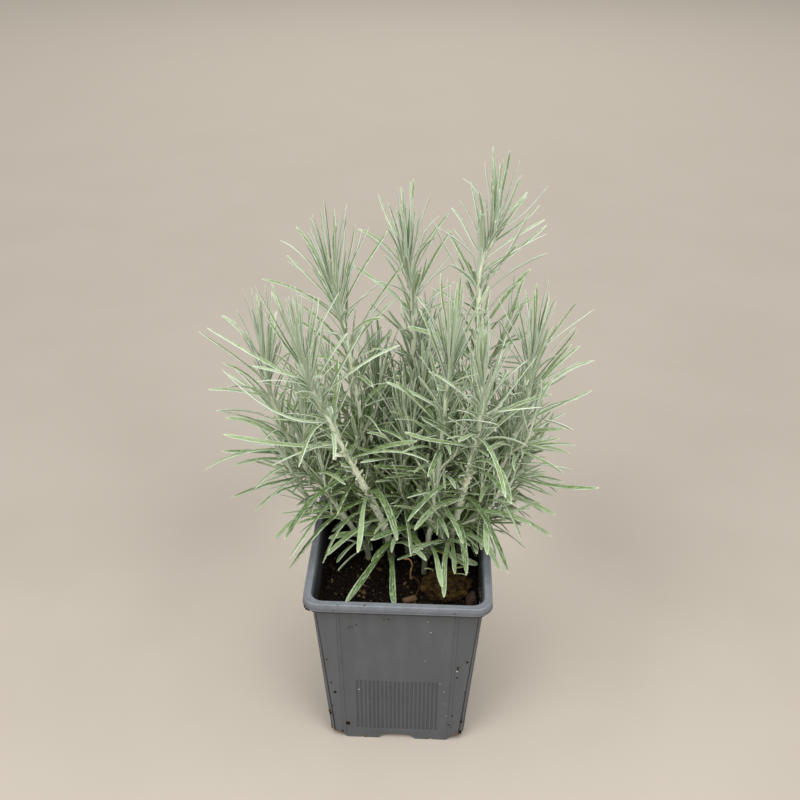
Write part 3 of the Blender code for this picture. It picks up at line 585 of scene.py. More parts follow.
# Where thin leaves may grow
EXTRA_TRIES = 6
THIN_CEILING = 0.4
NEAR_ENOUGH = 45.0
FRONT_SOIL = -8.0
OVER_SOIL = 112.0
BARE_LENGTHS = {"stem_front_left": (0.1, 0.6), "stem_front_right": (0.3, 0.6)}

# Bases of fallen leaves on the bare stems, and how the bases thicken the stem
STUB_COUNT = 44
STUB_SEAT = 1.5
STUB_OPENINGS = (8, 34)
STUB_LENGTH = (2.6, 6.5)
STUB_BOWS = (-20, 70)
STUB_WIDTHS = (1.5, 2.6)
SLEEVE = 0.32
SLEEVE_FADE = 0.1

# How the leaves of the solids are arched, by share of the stem's height, and swept sideways
MARKED_AGE = 0.38
ARCH_SHARES = (0.0, 0.5, 0.85, 1.0)
ARCH_LIFTS = (0.16, 0.18, 0.06, 0.0)
SWEEP = 0.09

# Young leaves in the angles under other leaves, in degrees and millimetres
AXIL_LEAVES = 2
AXIL_OPENINGS = (8, 40)
AXIL_BOWS = (0, 45)
AXIL_SWINGS = (-60, 60)
AXIL_LENGTHS = (6, 16)
AXIL_WIDTHS = (0.8, 1.5)
AXIL_FROM = 0.12
AXIL_TO = 0.88

# How leaves get narrower up the stem
NARROW_SHARES = (0.0, 0.3, 0.6, 0.85, 1.0)
NARROW_WIDTHS = (1.0, 0.95, 0.8, 0.64, 0.58)


class Blade:
    """One leaf: its age, from 0 for young and silvery to 1 for old and yellow, whether it is slim,
    how far from the stem's middle its base is seated, and its material's slot."""

    def __init__(self, leaf, age, slim, seat=1.15, slot=0):
        self.leaf = leaf
        self.age = min(1.0, max(0.0, age))
        self.slim = slim
        self.seat = seat
        self.slot = slot


def narrowed(leaf, share):
    root, handle, tip, width, axis, roll = leaf
    return root, handle, tip, width * float(np.interp(share, NARROW_SHARES, NARROW_WIDTHS)), axis, roll


def arched(leaf, lift, sweep):
    """The same leaf with its middle raised and swept sideways, as shares of its length."""
    root, handle, tip, width, axis, roll = leaf
    chord = tip - root
    side = unit(np.cross(chord, (0.0, 0.02, 1.0)))
    up = unit(np.cross(side, chord))
    length = np.linalg.norm(chord)
    return root, handle + up * length * lift + side * length * sweep, tip, width, axis, roll


def share_of(curve, leaf):
    heights, shares = share_heights(curve)
    return float(np.interp(leaf[0][2], heights, shares))


def extra_leaf(stem, share, turn, shape):
    """A thin leaf that keeps clear of its neighbours if it can, or None if it would touch the pot."""
    opening, length, *rest = shape
    found = None
    for attempt in range(EXTRA_TRIES):
        swing = THIN_SWING * (attempt // 2) * (1 if attempt % 2 else -1)
        leaf = ruled_leaf(stem.curve, share, turn + swing, opening, length, *rest)
        points, radii = leaf_room(leaf)
        if not clear_of_pot(points, THIN_CEILING):
            length *= THIN_CUT
            continue
        found = (leaf, points, radii)
        if stem.room.free(points, radii, stem.owner):
            break
    if found is None or hangs_over_front(found[0][2]):
        return None
    leaf, points, radii = found
    stem.room.add(points, radii, stem.owner)
    return leaf


def hangs_over_front(tip):
    """The compost in front of the stems stays in sight: only the leaves of the solids cross it."""
    return tip[1] < FRONT_SOIL and tip[2] < OVER_SOIL


def tuft_shape(rng, outer, tuft):
    """Opening, length, bow, sag, width and roll of a thin leaf in the tuft at a shoot's top."""
    opening = math.radians(1.5 + 19 * outer + rng.uniform(-2, 4))
    length = tuft * rng.uniform(*FINE_TUFT_SHARES) - 3 * outer
    bow = math.radians(rng.uniform(*FINE_TUFT_BOWS))
    return opening, length, bow, 0.0, rng.uniform(*FINE_TUFT_WIDTHS), rng.uniform(-ROLL, ROLL)


def ruled_shape(rng, share):
    """The same values for a thin leaf along the stem."""
    opening = math.radians(62 - 38 * share + rng.uniform(-14, 14))
    length = rng.uniform(*THIN_LENGTHS)
    bow = math.radians(rng.uniform(-4, 56 - 34 * share))
    droop = 0.55 * (1 - share) ** 2 * rng.uniform(0.0, 1.4)
    width = rng.uniform(*THIN_WIDTHS) + 1.0 * (1 - share) ** 1.5
    return opening, length, bow, droop, width, rng.uniform(-ROLL, ROLL)


def basal_shape(rng):
    """The same values for a short, broad leaf near the compost."""
    opening, length, bow, droop, width, roll = (rng.uniform(*ends) for ends in BASAL_RANGES)
    return math.radians(opening), length, math.radians(bow), droop, width, roll


def stub_shape(rng):
    """The same values for the short base that a fallen leaf leaves on a bare stem."""
    opening = math.radians(rng.uniform(*STUB_OPENINGS))
    length = STUB_LENGTH[0] + STUB_LENGTH[1] * rng.random() ** 2
    bow = math.radians(rng.uniform(*STUB_BOWS))
    return opening, length, bow, 0.0, rng.uniform(*STUB_WIDTHS), 0.0


def side_shoot(curve, share, turn, length, rng):
    """The curve of a short side shoot that leaves its stem slanting and turns upwards."""
    root, axis = along(curve, share)
    slant = math.radians(rng.uniform(*SIDE_SLANTS))
    start = unit(slanted(axis, outward(axis, turn), slant))
    end = unit(start + np.array((0, 0, SIDE_UPRIGHT)))
    middle = root + start * length * 0.5
    controls = np.array([root, root + start * length * 0.2, middle, middle + end * length * 0.5])
    return smooth_curve(controls, 4)


def free_along(curve, share):
    """The point and direction at a share of a side shoot, which has no buried root."""
    at = share * (len(curve) - 1)
    i = min(int(at), len(curve) - 2)
    return curve[i] + (curve[i + 1] - curve[i]) * (at - i), unit(curve[i + 1] - curve[i])


def side_blades(curve, rng, age):
    """The short thin leaves of one side shoot, closing into a small tuft."""
    blades = []
    for k in range(SIDE_LEAVES):
        rank = k / (SIDE_LEAVES - 1)
        root, axis = free_along(curve, 0.18 + 0.82 * rank)
        turn = k * GOLDEN_ANGLE + rng.uniform(-0.3, 0.3)
        opening = math.radians(50 - 44 * rank + rng.uniform(-8, 8))
        length = rng.uniform(*SIDE_LEAF_LENGTHS) * (1.0 - 0.15 * rank)
        closing = opening + math.radians(rng.uniform(0, 22)) * (1 - rank)
        handle, tip = bent_line(root, axis, outward(axis, turn), opening, closing, length)
        leaf = (root, handle, tip, rng.uniform(*SIDE_LEAF_WIDTHS), axis, rng.uniform(-ROLL, ROLL))
        if clear_of_pot(leaf_room(leaf)[0], THIN_CEILING):
            leaf = arched(leaf, rng.uniform(-0.04, 0.08), rng.uniform(-SWEEP, SWEEP))
            blades.append(Blade(leaf, age * (1 - rank), True, SIDE_RADIUS))
    return blades


def axil_blades(leaf, rng, age):
    """Short young leaves in the angle between a leaf and its stem."""
    root, handle, _, _, axis, _ = leaf
    start = unit(handle - root)
    out = unit(start - axis * np.dot(start, axis))
    side = np.cross(axis, out)
    blades = []
    for _ in range(AXIL_LEAVES):
        opening = math.radians(rng.uniform(*AXIL_OPENINGS))
        closing = opening + math.radians(rng.uniform(*AXIL_BOWS))
        swing = math.radians(rng.uniform(*AXIL_SWINGS))
        length = rng.uniform(*AXIL_LENGTHS)
        away = slanted(out, side, swing)
        middle, tip = bent_line(root, axis, away, opening, closing, length)
        small = (root, middle, tip, rng.uniform(*AXIL_WIDTHS), axis, rng.uniform(-ROLL, ROLL))
        if clear_of_pot(leaf_room(small)[0], THIN_CEILING):
            blades.append(Blade(small, age, True))
    return blades


class Stem:
    """What the fine growth of one stem needs: its name, number, curve, room and random numbers."""

    def __init__(self, name, owner, curve, room):
        self.name = name
        self.owner = owner
        self.curve = curve
        self.room = room
        self.rng = random.Random(500 + owner)
        self.bare_from, self.bare_to = BARE_LENGTHS.get(name, (0.0, 0.0))

    def is_bare(self, share):
        return self.bare_from < share < self.bare_to


def solid_blades(stem, leaves):
    """The leaves of the solids, arched and narrowed, with young leaves in the angles under them."""
    rng = stem.rng
    blades = []
    marked = len(MARKED_LEAVES.get(stem.name, ()))
    for k, leaf in enumerate(leaves):
        share = share_of(stem.curve, leaf)
        age = 0.9 * (1 - share) ** 1.6 + rng.uniform(-0.1, 0.1)
        if k < marked:
            age = min(age, MARKED_AGE)
        lift = float(np.interp(share, ARCH_SHARES, ARCH_LIFTS)) * rng.random() * (k >= marked)
        sweep = SWEEP * rng.uniform(-1, 1) * (1 - 0.6 * share)
        blades.append(Blade(arched(narrowed(leaf, share), lift, sweep), age, False))
        if AXIL_FROM < share < AXIL_TO:
            blades += axil_blades(leaf, rng, 0.6 * (1 - share))
    return blades


def tuft_blades(stem):
    blades = []
    tuft = STEMS[stem.name][2]
    for k in range(EXTRA_TUFT):
        outer = (k + 0.5) / EXTRA_TUFT
        turn = k * GOLDEN_ANGLE + stem.owner + TUFT_TURN
        share = 1.0 - TUFT_DEPTH * outer
        leaf = extra_leaf(stem, share, turn, tuft_shape(stem.rng, outer, tuft))
        if leaf:
            blades.append(Blade(leaf, 0.0, True))
    return blades


def thin_blades(stem):
    """Thin leaves all along the stem, fewer near the compost and none where it is bare."""
    rng = stem.rng
    blades = []
    for k in range(EXTRA_RULED):
        share = THIN_TOP - THIN_DEPTH * (k + rng.random()) / EXTRA_RULED
        shape = ruled_shape(rng, share)
        sparse = share < LOW_SHARE and rng.random() > LOW_KEPT
        if sparse or stem.is_bare(share):
            continue
        leaf = extra_leaf(stem, share, k * GOLDEN_ANGLE + stem.owner + THIN_TURN, shape)
        if leaf:
            leaf = arched(leaf, rng.uniform(-0.03, 0.16), SWEEP * rng.uniform(-1, 1))
            blades.append(Blade(leaf, 0.8 * (1 - share) ** 1.5 + rng.uniform(-0.15, 0.15), True))
    return blades


def basal_blades(stem):
    """Broad leaves just over the compost, the fourth of them old."""
    rng = stem.rng
    blades = []
    for k in range(BASAL_LEAVES):
        share = BASAL_FOOT + BASAL_RISE * rng.random()
        leaf = extra_leaf(stem, share, k * GOLDEN_ANGLE + stem.owner, basal_shape(rng))
        if leaf:
            old = 1.0 if k % 5 == 3 else rng.uniform(0.1, 0.5)
            blades.append(Blade(leaf, old, False))
    return blades


def stub_blades(stem):
    blades = []
    for k in range(STUB_COUNT if stem.bare_to else 0):
        place = (k + stem.rng.random()) / STUB_COUNT
        share = stem.bare_from + (stem.bare_to - stem.bare_from) * place
        leaf = extra_leaf(stem, share, k * GOLDEN_ANGLE, stub_shape(stem.rng))
        if leaf:
            blades.append(Blade(leaf, 0.1, True, STUB_SEAT, min(1, k % 3)))
    return blades


def fine_stem(stem, leaves):
    """Every blade and side shoot of one stem."""
    rng = stem.rng
    blades = solid_blades(stem, leaves) + tuft_blades(stem) + thin_blades(stem)
    blades += basal_blades(stem)
    blades += stub_blades(stem)
    shoots = []
    for k, share in enumerate(SIDE_SHARES):
        share += rng.uniform(-0.05, 0.05)
        length = rng.uniform(*SIDE_LENGTHS)
        if stem.is_bare(share):
            continue
        turn = k * GOLDEN_ANGLE + stem.owner * SIDE_TURN
        shoot = side_shoot(stem.curve, share, turn, length, rng)
        if clear_of_pot(shoot, 1.0):
            shoots.append(shoot)
            blades += side_blades(shoot, rng, 0.5 * (1 - share))
    return blades, shoots


# Meshes


# A blade cut across, in half widths: across, up, and 1 on the felted underside. The margins roll
# under.
FULL_SECTION = np.array(
    (
        (-1.0, -0.06, 0), (-0.92, 0.15, 0), (-0.6, 0.27, 0), (-0.24, 0.2, 0), (0.0, 0.06, 0),
        (0.24, 0.2, 0), (0.6, 0.27, 0), (0.92, 0.15, 0), (1.0, -0.06, 0), (0.74, -0.26, 1),
        (0.42, -0.12, 1), (0.0, -0.36, 1), (-0.42, -0.12, 1), (-0.74, -0.26, 1),
    )
)
SLIM_SECTION = np.array(
    (
        (-1.0, 0.0, 0), (-0.62, 0.3, 0), (0.0, 0.1, 0), (0.62, 0.3, 0), (1.0, 0.0, 0),
        (0.6, -0.3, 1), (0.0, -0.4, 1), (-0.6, -0.3, 1),
    )
)
FULL_STATIONS = np.array((0.0, 0.06, 0.14, 0.26, 0.4, 0.54, 0.68, 0.8, 0.89, 0.955, 0.99))
YOUNG_WIDTHS = np.array((0.6, 0.66, 0.8, 0.92, 0.98, 1.0, 0.99, 0.95, 0.84, 0.6, 0.26))
OLD_WIDTHS = np.array((0.42, 0.45, 0.52, 0.62, 0.76, 0.9, 0.99, 1.0, 0.9, 0.66, 0.32))
SLIM_STATIONS = np.array((0.0, 0.14, 0.36, 0.58, 0.78, 0.92, 0.99))
SLIM_WIDTHS = np.array((0.6, 0.85, 0.97, 1.0, 0.93, 0.68, 0.26))


class MeshBuilder:
    """Points, faces and the values that the materials read, gathered for one object."""

    def __init__(self):
        self.points = []
        self.faces = []
        self.slots = []
        self.blade = []
        self.growth = []
        self.count = 0

    def add(self, points, faces, slot, blade, growth):
        """blade holds across, along and underside; growth holds age, tone and height share."""
        self.points.append(np.asarray(points, float))
        self.faces += [tuple(i + self.count for i in face) for face in faces]
        self.slots += [slot] * len(faces)
        self.blade.append(np.broadcast_to(np.asarray(blade, float), (len(points), 3)))
        self.growth.append(np.broadcast_to(np.asarray(growth, float), (len(points), 3)))
        self.count += len(points)

    def build(self, name, materials, sharp_degrees=70):
        mesh = bpy.data.meshes.new(name)
        points = np.vstack(self.points) * MM
        mesh.from_pydata(points.tolist(), [], self.faces)
        for label, values in (("blade", self.blade), ("growth", self.growth)):
            layer = mesh.attributes.new(label, "FLOAT_VECTOR", "POINT")
            layer.data.foreach_set("vector", np.vstack(values).astype(np.float32).ravel())
        for material in materials:
            mesh.materials.append(material)
        mesh.polygons.foreach_set("material_index", self.slots)
        mesh.shade_smooth()
        mesh.set_sharp_from_angle(angle=math.radians(sharp_degrees))
        obj = bpy.data.objects.new(name, mesh)
        bpy.context.scene.collection.objects.link(obj)
        return obj


def ring_faces(rows, count):
    """Quads between rows of equal length, and a cap on the first row."""
    faces = []
    for i in range(rows - 1):
        for k in range(count):
            n = (k + 1) % count
            faces.append((i * count + k, i * count + n, (i + 1) * count + n, (i + 1) * count + k))
    faces.append(tuple(reversed(range(count))))
    return faces


def tipped_faces(rows, count):
    """The same, closed by a fan to one last point."""
    faces = ring_faces(rows, count)
    tip = rows * count
    first = (rows - 1) * count
    return faces + [(first + k, first + (k + 1) % count, tip) for k in range(count)]


BLADE_FACES = {
    True: tipped_faces(len(SLIM_STATIONS), len(SLIM_SECTION)),
    False: tipped_faces(len(FULL_STATIONS), len(FULL_SECTION)),
}


def frames_along(leaf, stations, twist):
    """Centres with side and upper directions along a leaf, twisted a little towards its tip."""
    root, handle, tip, _, axis, roll = leaf
    t = stations[:, None]
    centres = leaf_points(leaf, stations)
    forward = 2 * (handle - root) * (1 - t) + 2 * (tip - handle) * t
    forward /= np.maximum(np.linalg.norm(forward, axis=1), 1e-9)[:, None]
    chord = unit(tip - root)
    across = np.cross(chord, axis)
    if np.linalg.norm(across) < 0.05:
        across = np.cross(chord, (1.0, 0.2, 0.0))
    across = turned(unit(across), chord, roll)
    sides = across - forward * (forward @ across)[:, None]
    sides /= np.linalg.norm(sides, axis=1)[:, None]
    ups = np.cross(sides, forward)
    cos, sin = np.cos(twist * t), np.sin(twist * t)
    return centres, sides * cos + ups * sin, ups * cos - sides * sin


def seat_base(blade, centres, ups):
    """Runs the blade's base a little down the outside of its stem, as a clasping leaf does."""
    root, handle, _, width, axis, _ = blade.leaf
    start = unit(handle - root)
    out = unit(start - axis * np.dot(start, axis))
    centres[0] = root - axis * width * 0.9 + out * blade.seat * 0.72
    ups[0] = -out


def add_blade(builder, blade, rng):
    section = SLIM_SECTION if blade.slim else FULL_SECTION
    stations = SLIM_STATIONS if blade.slim else FULL_STATIONS
    old = min(1.0, blade.age * 1.6)
    widths = SLIM_WIDTHS if blade.slim else YOUNG_WIDTHS * (1 - old) + OLD_WIDTHS * old
    centres, sides, ups = frames_along(blade.leaf, stations, rng.uniform(-0.9, 0.9))
    wave = rng.uniform(-0.6, 0.6) * np.sin(stations * math.pi * rng.uniform(1.4, 2.4))
    centres = centres + sides * wave[:, None]
    seat_base(blade, centres, ups)
    half = blade.leaf[3] / 2
    wide = half * widths
    deep = half * np.maximum(widths, 0.6 * widths + 0.25) * (1.15 if blade.slim else 1.0)
    points = (
        centres[:, None, :]
        + sides[:, None, :] * (wide[:, None] * section[:, 0])[:, :, None]
        + ups[:, None, :] * (deep[:, None] * section[:, 1])[:, :, None]
    ).reshape(-1, 3)
    points = np.vstack([points, blade.leaf[2]])
    values = np.empty((len(points), 3))
    values[:-1, 0] = np.tile(section[:, 0], len(stations))
    values[:-1, 1] = np.repeat(stations, len(section))
    values[:-1, 2] = np.tile(section[:, 2], len(stations))
    values[-1] = (0.0, 1.0, 0.0)
    growth = (blade.age, rng.random(), 0.5)
    builder.add(points, BLADE_FACES[blade.slim], blade.slot, values, growth)


FINE_SIDES = 12
RING_STEP = 1.7
LUMP = 0.28
PLANT_HEIGHT = 300.0


def tube_points(line, radii, sides, start, swell=None):
    """Rings around a line and a last point beyond it. start points to about the first corner of
    each ring, and swell gives a factor for the radius by ring and angle."""
    side = np.array(start)
    points = []
    for i, centre in enumerate(line):
        way = unit(line[min(i + 1, len(line) - 1)] - line[max(i - 1, 0)])
        side = unit(side - way * np.dot(side, way))
        other = np.cross(way, side)
        for k in range(sides):
            a = 2 * math.pi * k / sides
            reach = radii[i] * swell(i, a) if swell else radii[i]
            points.append(centre + reach * (side * math.cos(a) + other * math.sin(a)))
    points.append(line[-1] + unit(line[-1] - line[-2]) * radii[-1])
    return np.array(points)


def add_stem(builder, curve, radii, rng):
    """A felted stem as a lumpy tube whose last ring closes to a point."""
    lengths = np.concatenate([[0.0], np.cumsum(np.linalg.norm(np.diff(curve, axis=0), axis=1))])
    rows = max(6, int(lengths[-1] / RING_STEP))
    at = np.linspace(0.0, lengths[-1], rows)
    line = np.column_stack([np.interp(at, lengths, curve[:, i]) for i in range(3)])
    seed = rng.uniform(0, 50)

    def lumpy(i, a):
        spot = (seed + at[i] * 0.3, math.cos(a) * 0.9, math.sin(a) * 0.9)
        return 1.0 + LUMP * noise.noise(spot)

    points = tube_points(line, np.interp(at, lengths, radii), FINE_SIDES, (1.0, 0.0, 0.0), lumpy)
    values = np.zeros((len(points), 3))
    values[:, 1] = np.append(np.repeat(at / lengths[-1], FINE_SIDES), 1.0)
    growth = np.zeros((len(points), 3))
    growth[:, 1] = rng.random()
    growth[:, 2] = np.append(np.repeat(line[:, 2], FINE_SIDES), line[-1, 2]) / PLANT_HEIGHT
    builder.add(points, tipped_faces(rows, FINE_SIDES), 1, values, growth)


def sleeved_radii(name, count):
    """The stem's radii, thicker where the clasping bases of fallen leaves cover it."""
    bare_from, bare_to = BARE_LENGTHS.get(name, (0.0, 0.0))
    share = np.linspace(0.0, 1.0, count)
    inside = np.minimum(share - bare_from, bare_to - share) / SLEEVE_FADE
    return stem_radii(count) * (1.0 + SLEEVE * np.clip(inside, 0.0, 1.0))


def build_leafy_stem(name, owner, curve, leaves, room, materials):
    rng = random.Random(900 + owner)
    blades, shoots = fine_stem(Stem(name, owner, curve, room), leaves)
    builder = MeshBuilder()
    add_stem(builder, curve, sleeved_radii(name, len(curve)), rng)
    for shoot in shoots:
        add_stem(builder, shoot, np.linspace(SIDE_RADIUS, SIDE_TIP_RADIUS, len(shoot)), rng)
    for blade in blades:
        add_blade(builder, blade, rng)
    piece = builder.build(name + "_foliage", materials)
    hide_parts(name)
    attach(piece, "root")
    return piece


# Node trees


class Tree:
    """A material's nodes, with short calls that add one and give its output."""

    def __init__(self, name):
        self.material = bpy.data.materials.new(name)
        self.material.use_nodes = True
        self.nodes = self.material.node_tree.nodes
        self.links = self.material.node_tree.links
        self.shader = self.nodes["Principled BSDF"]

    def put(self, socket, value):
        if isinstance(value, bpy.types.NodeSocket):
            self.links.new(value, socket)
        elif hasattr(value, "__len__") and len(value) == 3 and socket.type == "RGBA":
            socket.default_value = (*value, 1.0)
        else:
            socket.default_value = value

    def attribute(self, name):
        """The three numbers of a mesh attribute, as separate outputs."""
        node = self.nodes.new("ShaderNodeAttribute")
        node.attribute_name = name
        return self.split(node.outputs["Vector"])

    def place(self):
        return self.nodes.new("ShaderNodeTexCoord").outputs["Object"]

    def split(self, vector):
        node = self.nodes.new("ShaderNodeSeparateXYZ")
        self.links.new(vector, node.inputs[0])
        return node.outputs

    def vector(self, x, y, z):
        node = self.nodes.new("ShaderNodeCombineXYZ")
        for socket, value in zip(node.inputs, (x, y, z)):
            self.put(socket, value)
        return node.outputs[0]

    def math(self, operation, a, b=0.0, clamp=False):
        node = self.nodes.new("ShaderNodeMath")
        node.operation = operation
        node.use_clamp = clamp
        self.put(node.inputs[0], a)
        self.put(node.inputs[1], b)
        return node.outputs[0]

    def times(self, a, b):
        return self.math("MULTIPLY", a, b)

    def plus(self, a, b, clamp=False):
        return self.math("ADD", a, b, clamp)

    def distance(self, x, y):
        """The length of a flat vector."""
        return self.math("SQRT", self.plus(self.times(x, x), self.times(y, y)))

    def ramp(self, value, low, high, to_low=0.0, to_high=1.0):
        """A smooth step from to_low to to_high as value goes from low to high."""
        node = self.nodes.new("ShaderNodeMapRange")
        node.interpolation_type = "SMOOTHSTEP"
        for label, number in (("Value", value), ("From Min", low), ("From Max", high)):
            self.put(node.inputs[label], number)
        self.put(node.inputs["To Min"], to_low)
        self.put(node.inputs["To Max"], to_high)
        return node.outputs[0]

    def noise(self, vector, scale, detail=3.0, roughness=0.55):
        node = self.nodes.new("ShaderNodeTexNoise")
        self.put(node.inputs["Vector"], vector)
        self.put(node.inputs["Scale"], scale)
        self.put(node.inputs["Detail"], detail)
        self.put(node.inputs["Roughness"], roughness)
        return node.outputs["Fac"]

    def mix(self, share, a, b):
        node = self.nodes.new("ShaderNodeMix")
        node.data_type = "RGBA"
        self.put(node.inputs["Factor"], share)
        self.put(node.inputs[6], a)
        self.put(node.inputs[7], b)
        return node.outputs[2]

    def bump(self, height, distance, strength=1.0, normal=None):
        node = self.nodes.new("ShaderNodeBump")
        self.put(node.inputs["Height"], height)
        node.inputs["Distance"].default_value = distance
        node.inputs["Strength"].default_value = strength
        if normal is not None:
            self.links.new(normal, node.inputs["Normal"])
        return node.outputs["Normal"]

    def finish(self, colour, roughness, normal=None, **constants):
        self.put(self.shader.inputs["Base Color"], colour)
        self.put(self.shader.inputs["Roughness"], roughness)
        if normal is not None:
            self.links.new(normal, self.shader.inputs["Normal"])
        for label, value in constants.items():
            self.put(self.shader.inputs[label.replace("_", " ")], value)
        return self.material


# Colours, as linear red, green and blue

LEAF_GREEN = (0.115, 0.190, 0.046)
LEAF_DEEP = (0.042, 0.084, 0.016)
YOUNG_GREEN = (0.135, 0.208, 0.036)
LEAF_SILVER = (0.44, 0.54, 0.325)
OLD_SILVER = (0.285, 0.375, 0.185)
FELT_WHITE = (0.92, 0.96, 0.98)
OLD_FELT = (0.65, 0.73, 0.60)
FELT_SHEEN = (0.92, 1.0, 0.9)
# Painted shade deep in the plant
SHADE_GREEN = (0.070, 0.125, 0.008)
SHADE_SILVER = (0.26, 0.36, 0.11)
LEAF_OLIVE = (0.34, 0.38, 0.05)
TIP_PALE = (0.70, 0.70, 0.48)
STEM_FELT = (0.80, 0.82, 0.64)
STEM_OLD = (0.075, 0.068, 0.030)
PLASTIC = (0.085, 0.090, 0.098)
PLASTIC_DARK = (0.074, 0.078, 0.085)
# Painted shade inside the pot, with the damp peat's stain
WALL_STAIN_AND_SHADE = (0.016, 0.014, 0.012)
# Painted shade on the neck, under the rim's lip
NECK_PAINTED_SHADE = (0.016, 0.016, 0.017)
# Rubbed and streaked plastic, also used as a painted highlight on the rim
PLASTIC_WORN_AND_HIGHLIGHT = (0.22, 0.238, 0.265)
DUST = (0.30, 0.28, 0.24)
PEAT_DARK = (0.0022, 0.0014, 0.0009)
PEAT_BROWN = (0.034, 0.019, 0.009)
CRUMB_TAN = (0.36, 0.22, 0.10)
MOSS_BROWN = (0.075, 0.040, 0.012)
MOSS_GREEN = (0.055, 0.047, 0.010)
BROWN_CLOD_DARK = (0.030, 0.018, 0.013)
BROWN_CLOD = (0.095, 0.062, 0.045)
BARK_DARK = (0.035, 0.018, 0.009)
BARK_LIGHT = (0.16, 0.085, 0.04)
STALK_DARK = (0.22, 0.10, 0.035)
STALK_LIGHT = (0.55, 0.28, 0.11)
SPECK_GREY = (0.35, 0.34, 0.31)
SPECK_PALE = (0.62, 0.61, 0.57)
FLOOR_FLECK = (0.75, 0.68, 0.6)

# Where shade is painted into the leaves deep in the plant, in metres: its middle from front to back,
# and the ranges over which it fades around the middle, with height and towards the front
SHADE_MIDDLE = 0.014
SHADE_REACH = (0.030, 0.062)
SHADE_HEIGHT = (0.150, 0.210)
SHADE_FRONT = (-0.022, 0.004)

# Felt on the leaves: the part of the half width that the margin takes, the ages over which a leaf
# matures, and the scales of its patches and hairs
MARGIN = (0.45, 1.0)
MATURE = (0.05, 0.4)
UNDER_FELT = 0.45
SPECKLE_SCALE = 2600.0
FUZZ_SCALE = 5200.0


# The outside of the pot's wall, as half width per height and half width at the table, in metres
OUTER_SLOPE = (BODY_TOP_HALF - BODY_BOTTOM_HALF) / (NECK_BOTTOM - BODY_BOTTOM)
OUTER_FOOT = (BODY_BOTTOM_HALF - BODY_BOTTOM * OUTER_SLOPE) * MM
SQUARENESS = 14.0


def painted_depth_shade(tree, place):
    """Painted shade: 1 deep in the middle of the plant, falling to 0 around, above and in front of it."""
    x, y, z = tree.split(place)
    reach = tree.distance(x, tree.math("SUBTRACT", y, SHADE_MIDDLE))
    near = tree.times(tree.ramp(reach, *SHADE_REACH, 1.0, 0.0), tree.ramp(y, *SHADE_FRONT))
    return tree.times(near, tree.ramp(z, *SHADE_HEIGHT, 1.0, 0.0))


def leaf_felt(tree, place, worn, shade, age, tone, across, along_blade, under):
    """How thick the felt is: most on the margins, underneath and at both ends, patchy between, less in
    painted shade.
    """
    margin = tree.ramp(across, *MARGIN, 0.0, tree.ramp(age, *MATURE, 0.8, 0.36))
    groove = tree.ramp(across, 0.0, 0.15, 0.3, 0.0)
    streak = tree.ramp(worn, 0.42, 0.64, -0.22, tree.ramp(age, *MATURE, 0.5, 0.66))
    speckle = tree.ramp(tree.noise(place, SPECKLE_SCALE, 2.0), 0.45, 0.66, 0.0, 0.26)
    tip = tree.ramp(along_blade, 0.9, 1.0, 0.0, 0.5)
    base = tree.ramp(along_blade, 0.0, 0.22, 0.4, 0.0)
    outer = tree.times(tree.ramp(along_blade, 0.4, 0.95), tree.ramp(age, 0.1, 0.5, 0.0, 0.26))
    young = tree.ramp(age, 0.0, 0.5, 0.26, 0.06)
    felt = tree.plus(tree.plus(young, tree.ramp(tone, 0.0, 1.0, -0.2, 0.3)), margin)
    for part in (groove, streak, speckle, tip, base, outer, tree.times(under, UNDER_FELT)):
        felt = tree.plus(felt, part)
    return tree.math("SUBTRACT", felt, tree.times(shade, 0.2), clamp=True)


def leaf_colour(tree, felt, shade, age, tone, across, along_blade):
    """Green under silver, both by age, with a pale point, darker and greener in the painted shade."""
    ripe = tree.ramp(age, 0.02, 0.42)
    green = tree.mix(tree.ramp(tone, 0.1, 0.95), LEAF_DEEP, LEAF_GREEN)
    green = tree.mix(ripe, YOUNG_GREEN, green)
    green = tree.mix(tree.ramp(age, 0.72, 1.0, 0.0, 0.95), green, LEAF_OLIVE)
    green = tree.mix(tree.times(shade, 0.75), green, SHADE_GREEN)
    blade_felt = tree.mix(ripe, LEAF_SILVER, OLD_SILVER)
    blade_felt = tree.mix(tree.times(shade, 0.8), blade_felt, SHADE_SILVER)
    edge_felt = tree.mix(ripe, FELT_WHITE, OLD_FELT)
    silver = tree.mix(tree.ramp(across, *MARGIN, 0.1, 0.6), blade_felt, edge_felt)
    colour = tree.mix(felt, green, silver)
    return tree.mix(tree.ramp(along_blade, 0.965, 1.0, 0.0, 0.8), colour, TIP_PALE)


def leaf_material():
    """Green blade under silver felt."""
    tree = Tree("felted_leaf")
    across, along_blade, under = tree.attribute("blade")
    age, tone, _ = tree.attribute("growth")
    place = tree.place()
    shade = painted_depth_shade(tree, place)
    wide = tree.math("ABSOLUTE", across)
    streaks = tree.vector(
        tree.times(across, 2.6),
        tree.times(along_blade, 7.0),
        tree.times(tone, 61.0),
    )
    worn = tree.noise(streaks, 2.4, 4.0, 0.62)
    felt = leaf_felt(tree, place, worn, shade, age, tone, wide, along_blade, under)
    lift = tree.bump(worn, 0.00012, 0.5)
    return tree.finish(
        leaf_colour(tree, felt, shade, age, tone, wide, along_blade),
        tree.ramp(felt, 0.2, 1.0, 0.5, 0.85),
        tree.bump(tree.noise(place, FUZZ_SCALE, 2.0), 0.00006, 0.6, lift),
        Sheen_Weight=0.05,
        Sheen_Roughness=0.5,
        Sheen_Tint=FELT_SHEEN,
        Specular_IOR_Level=0.16,
    )


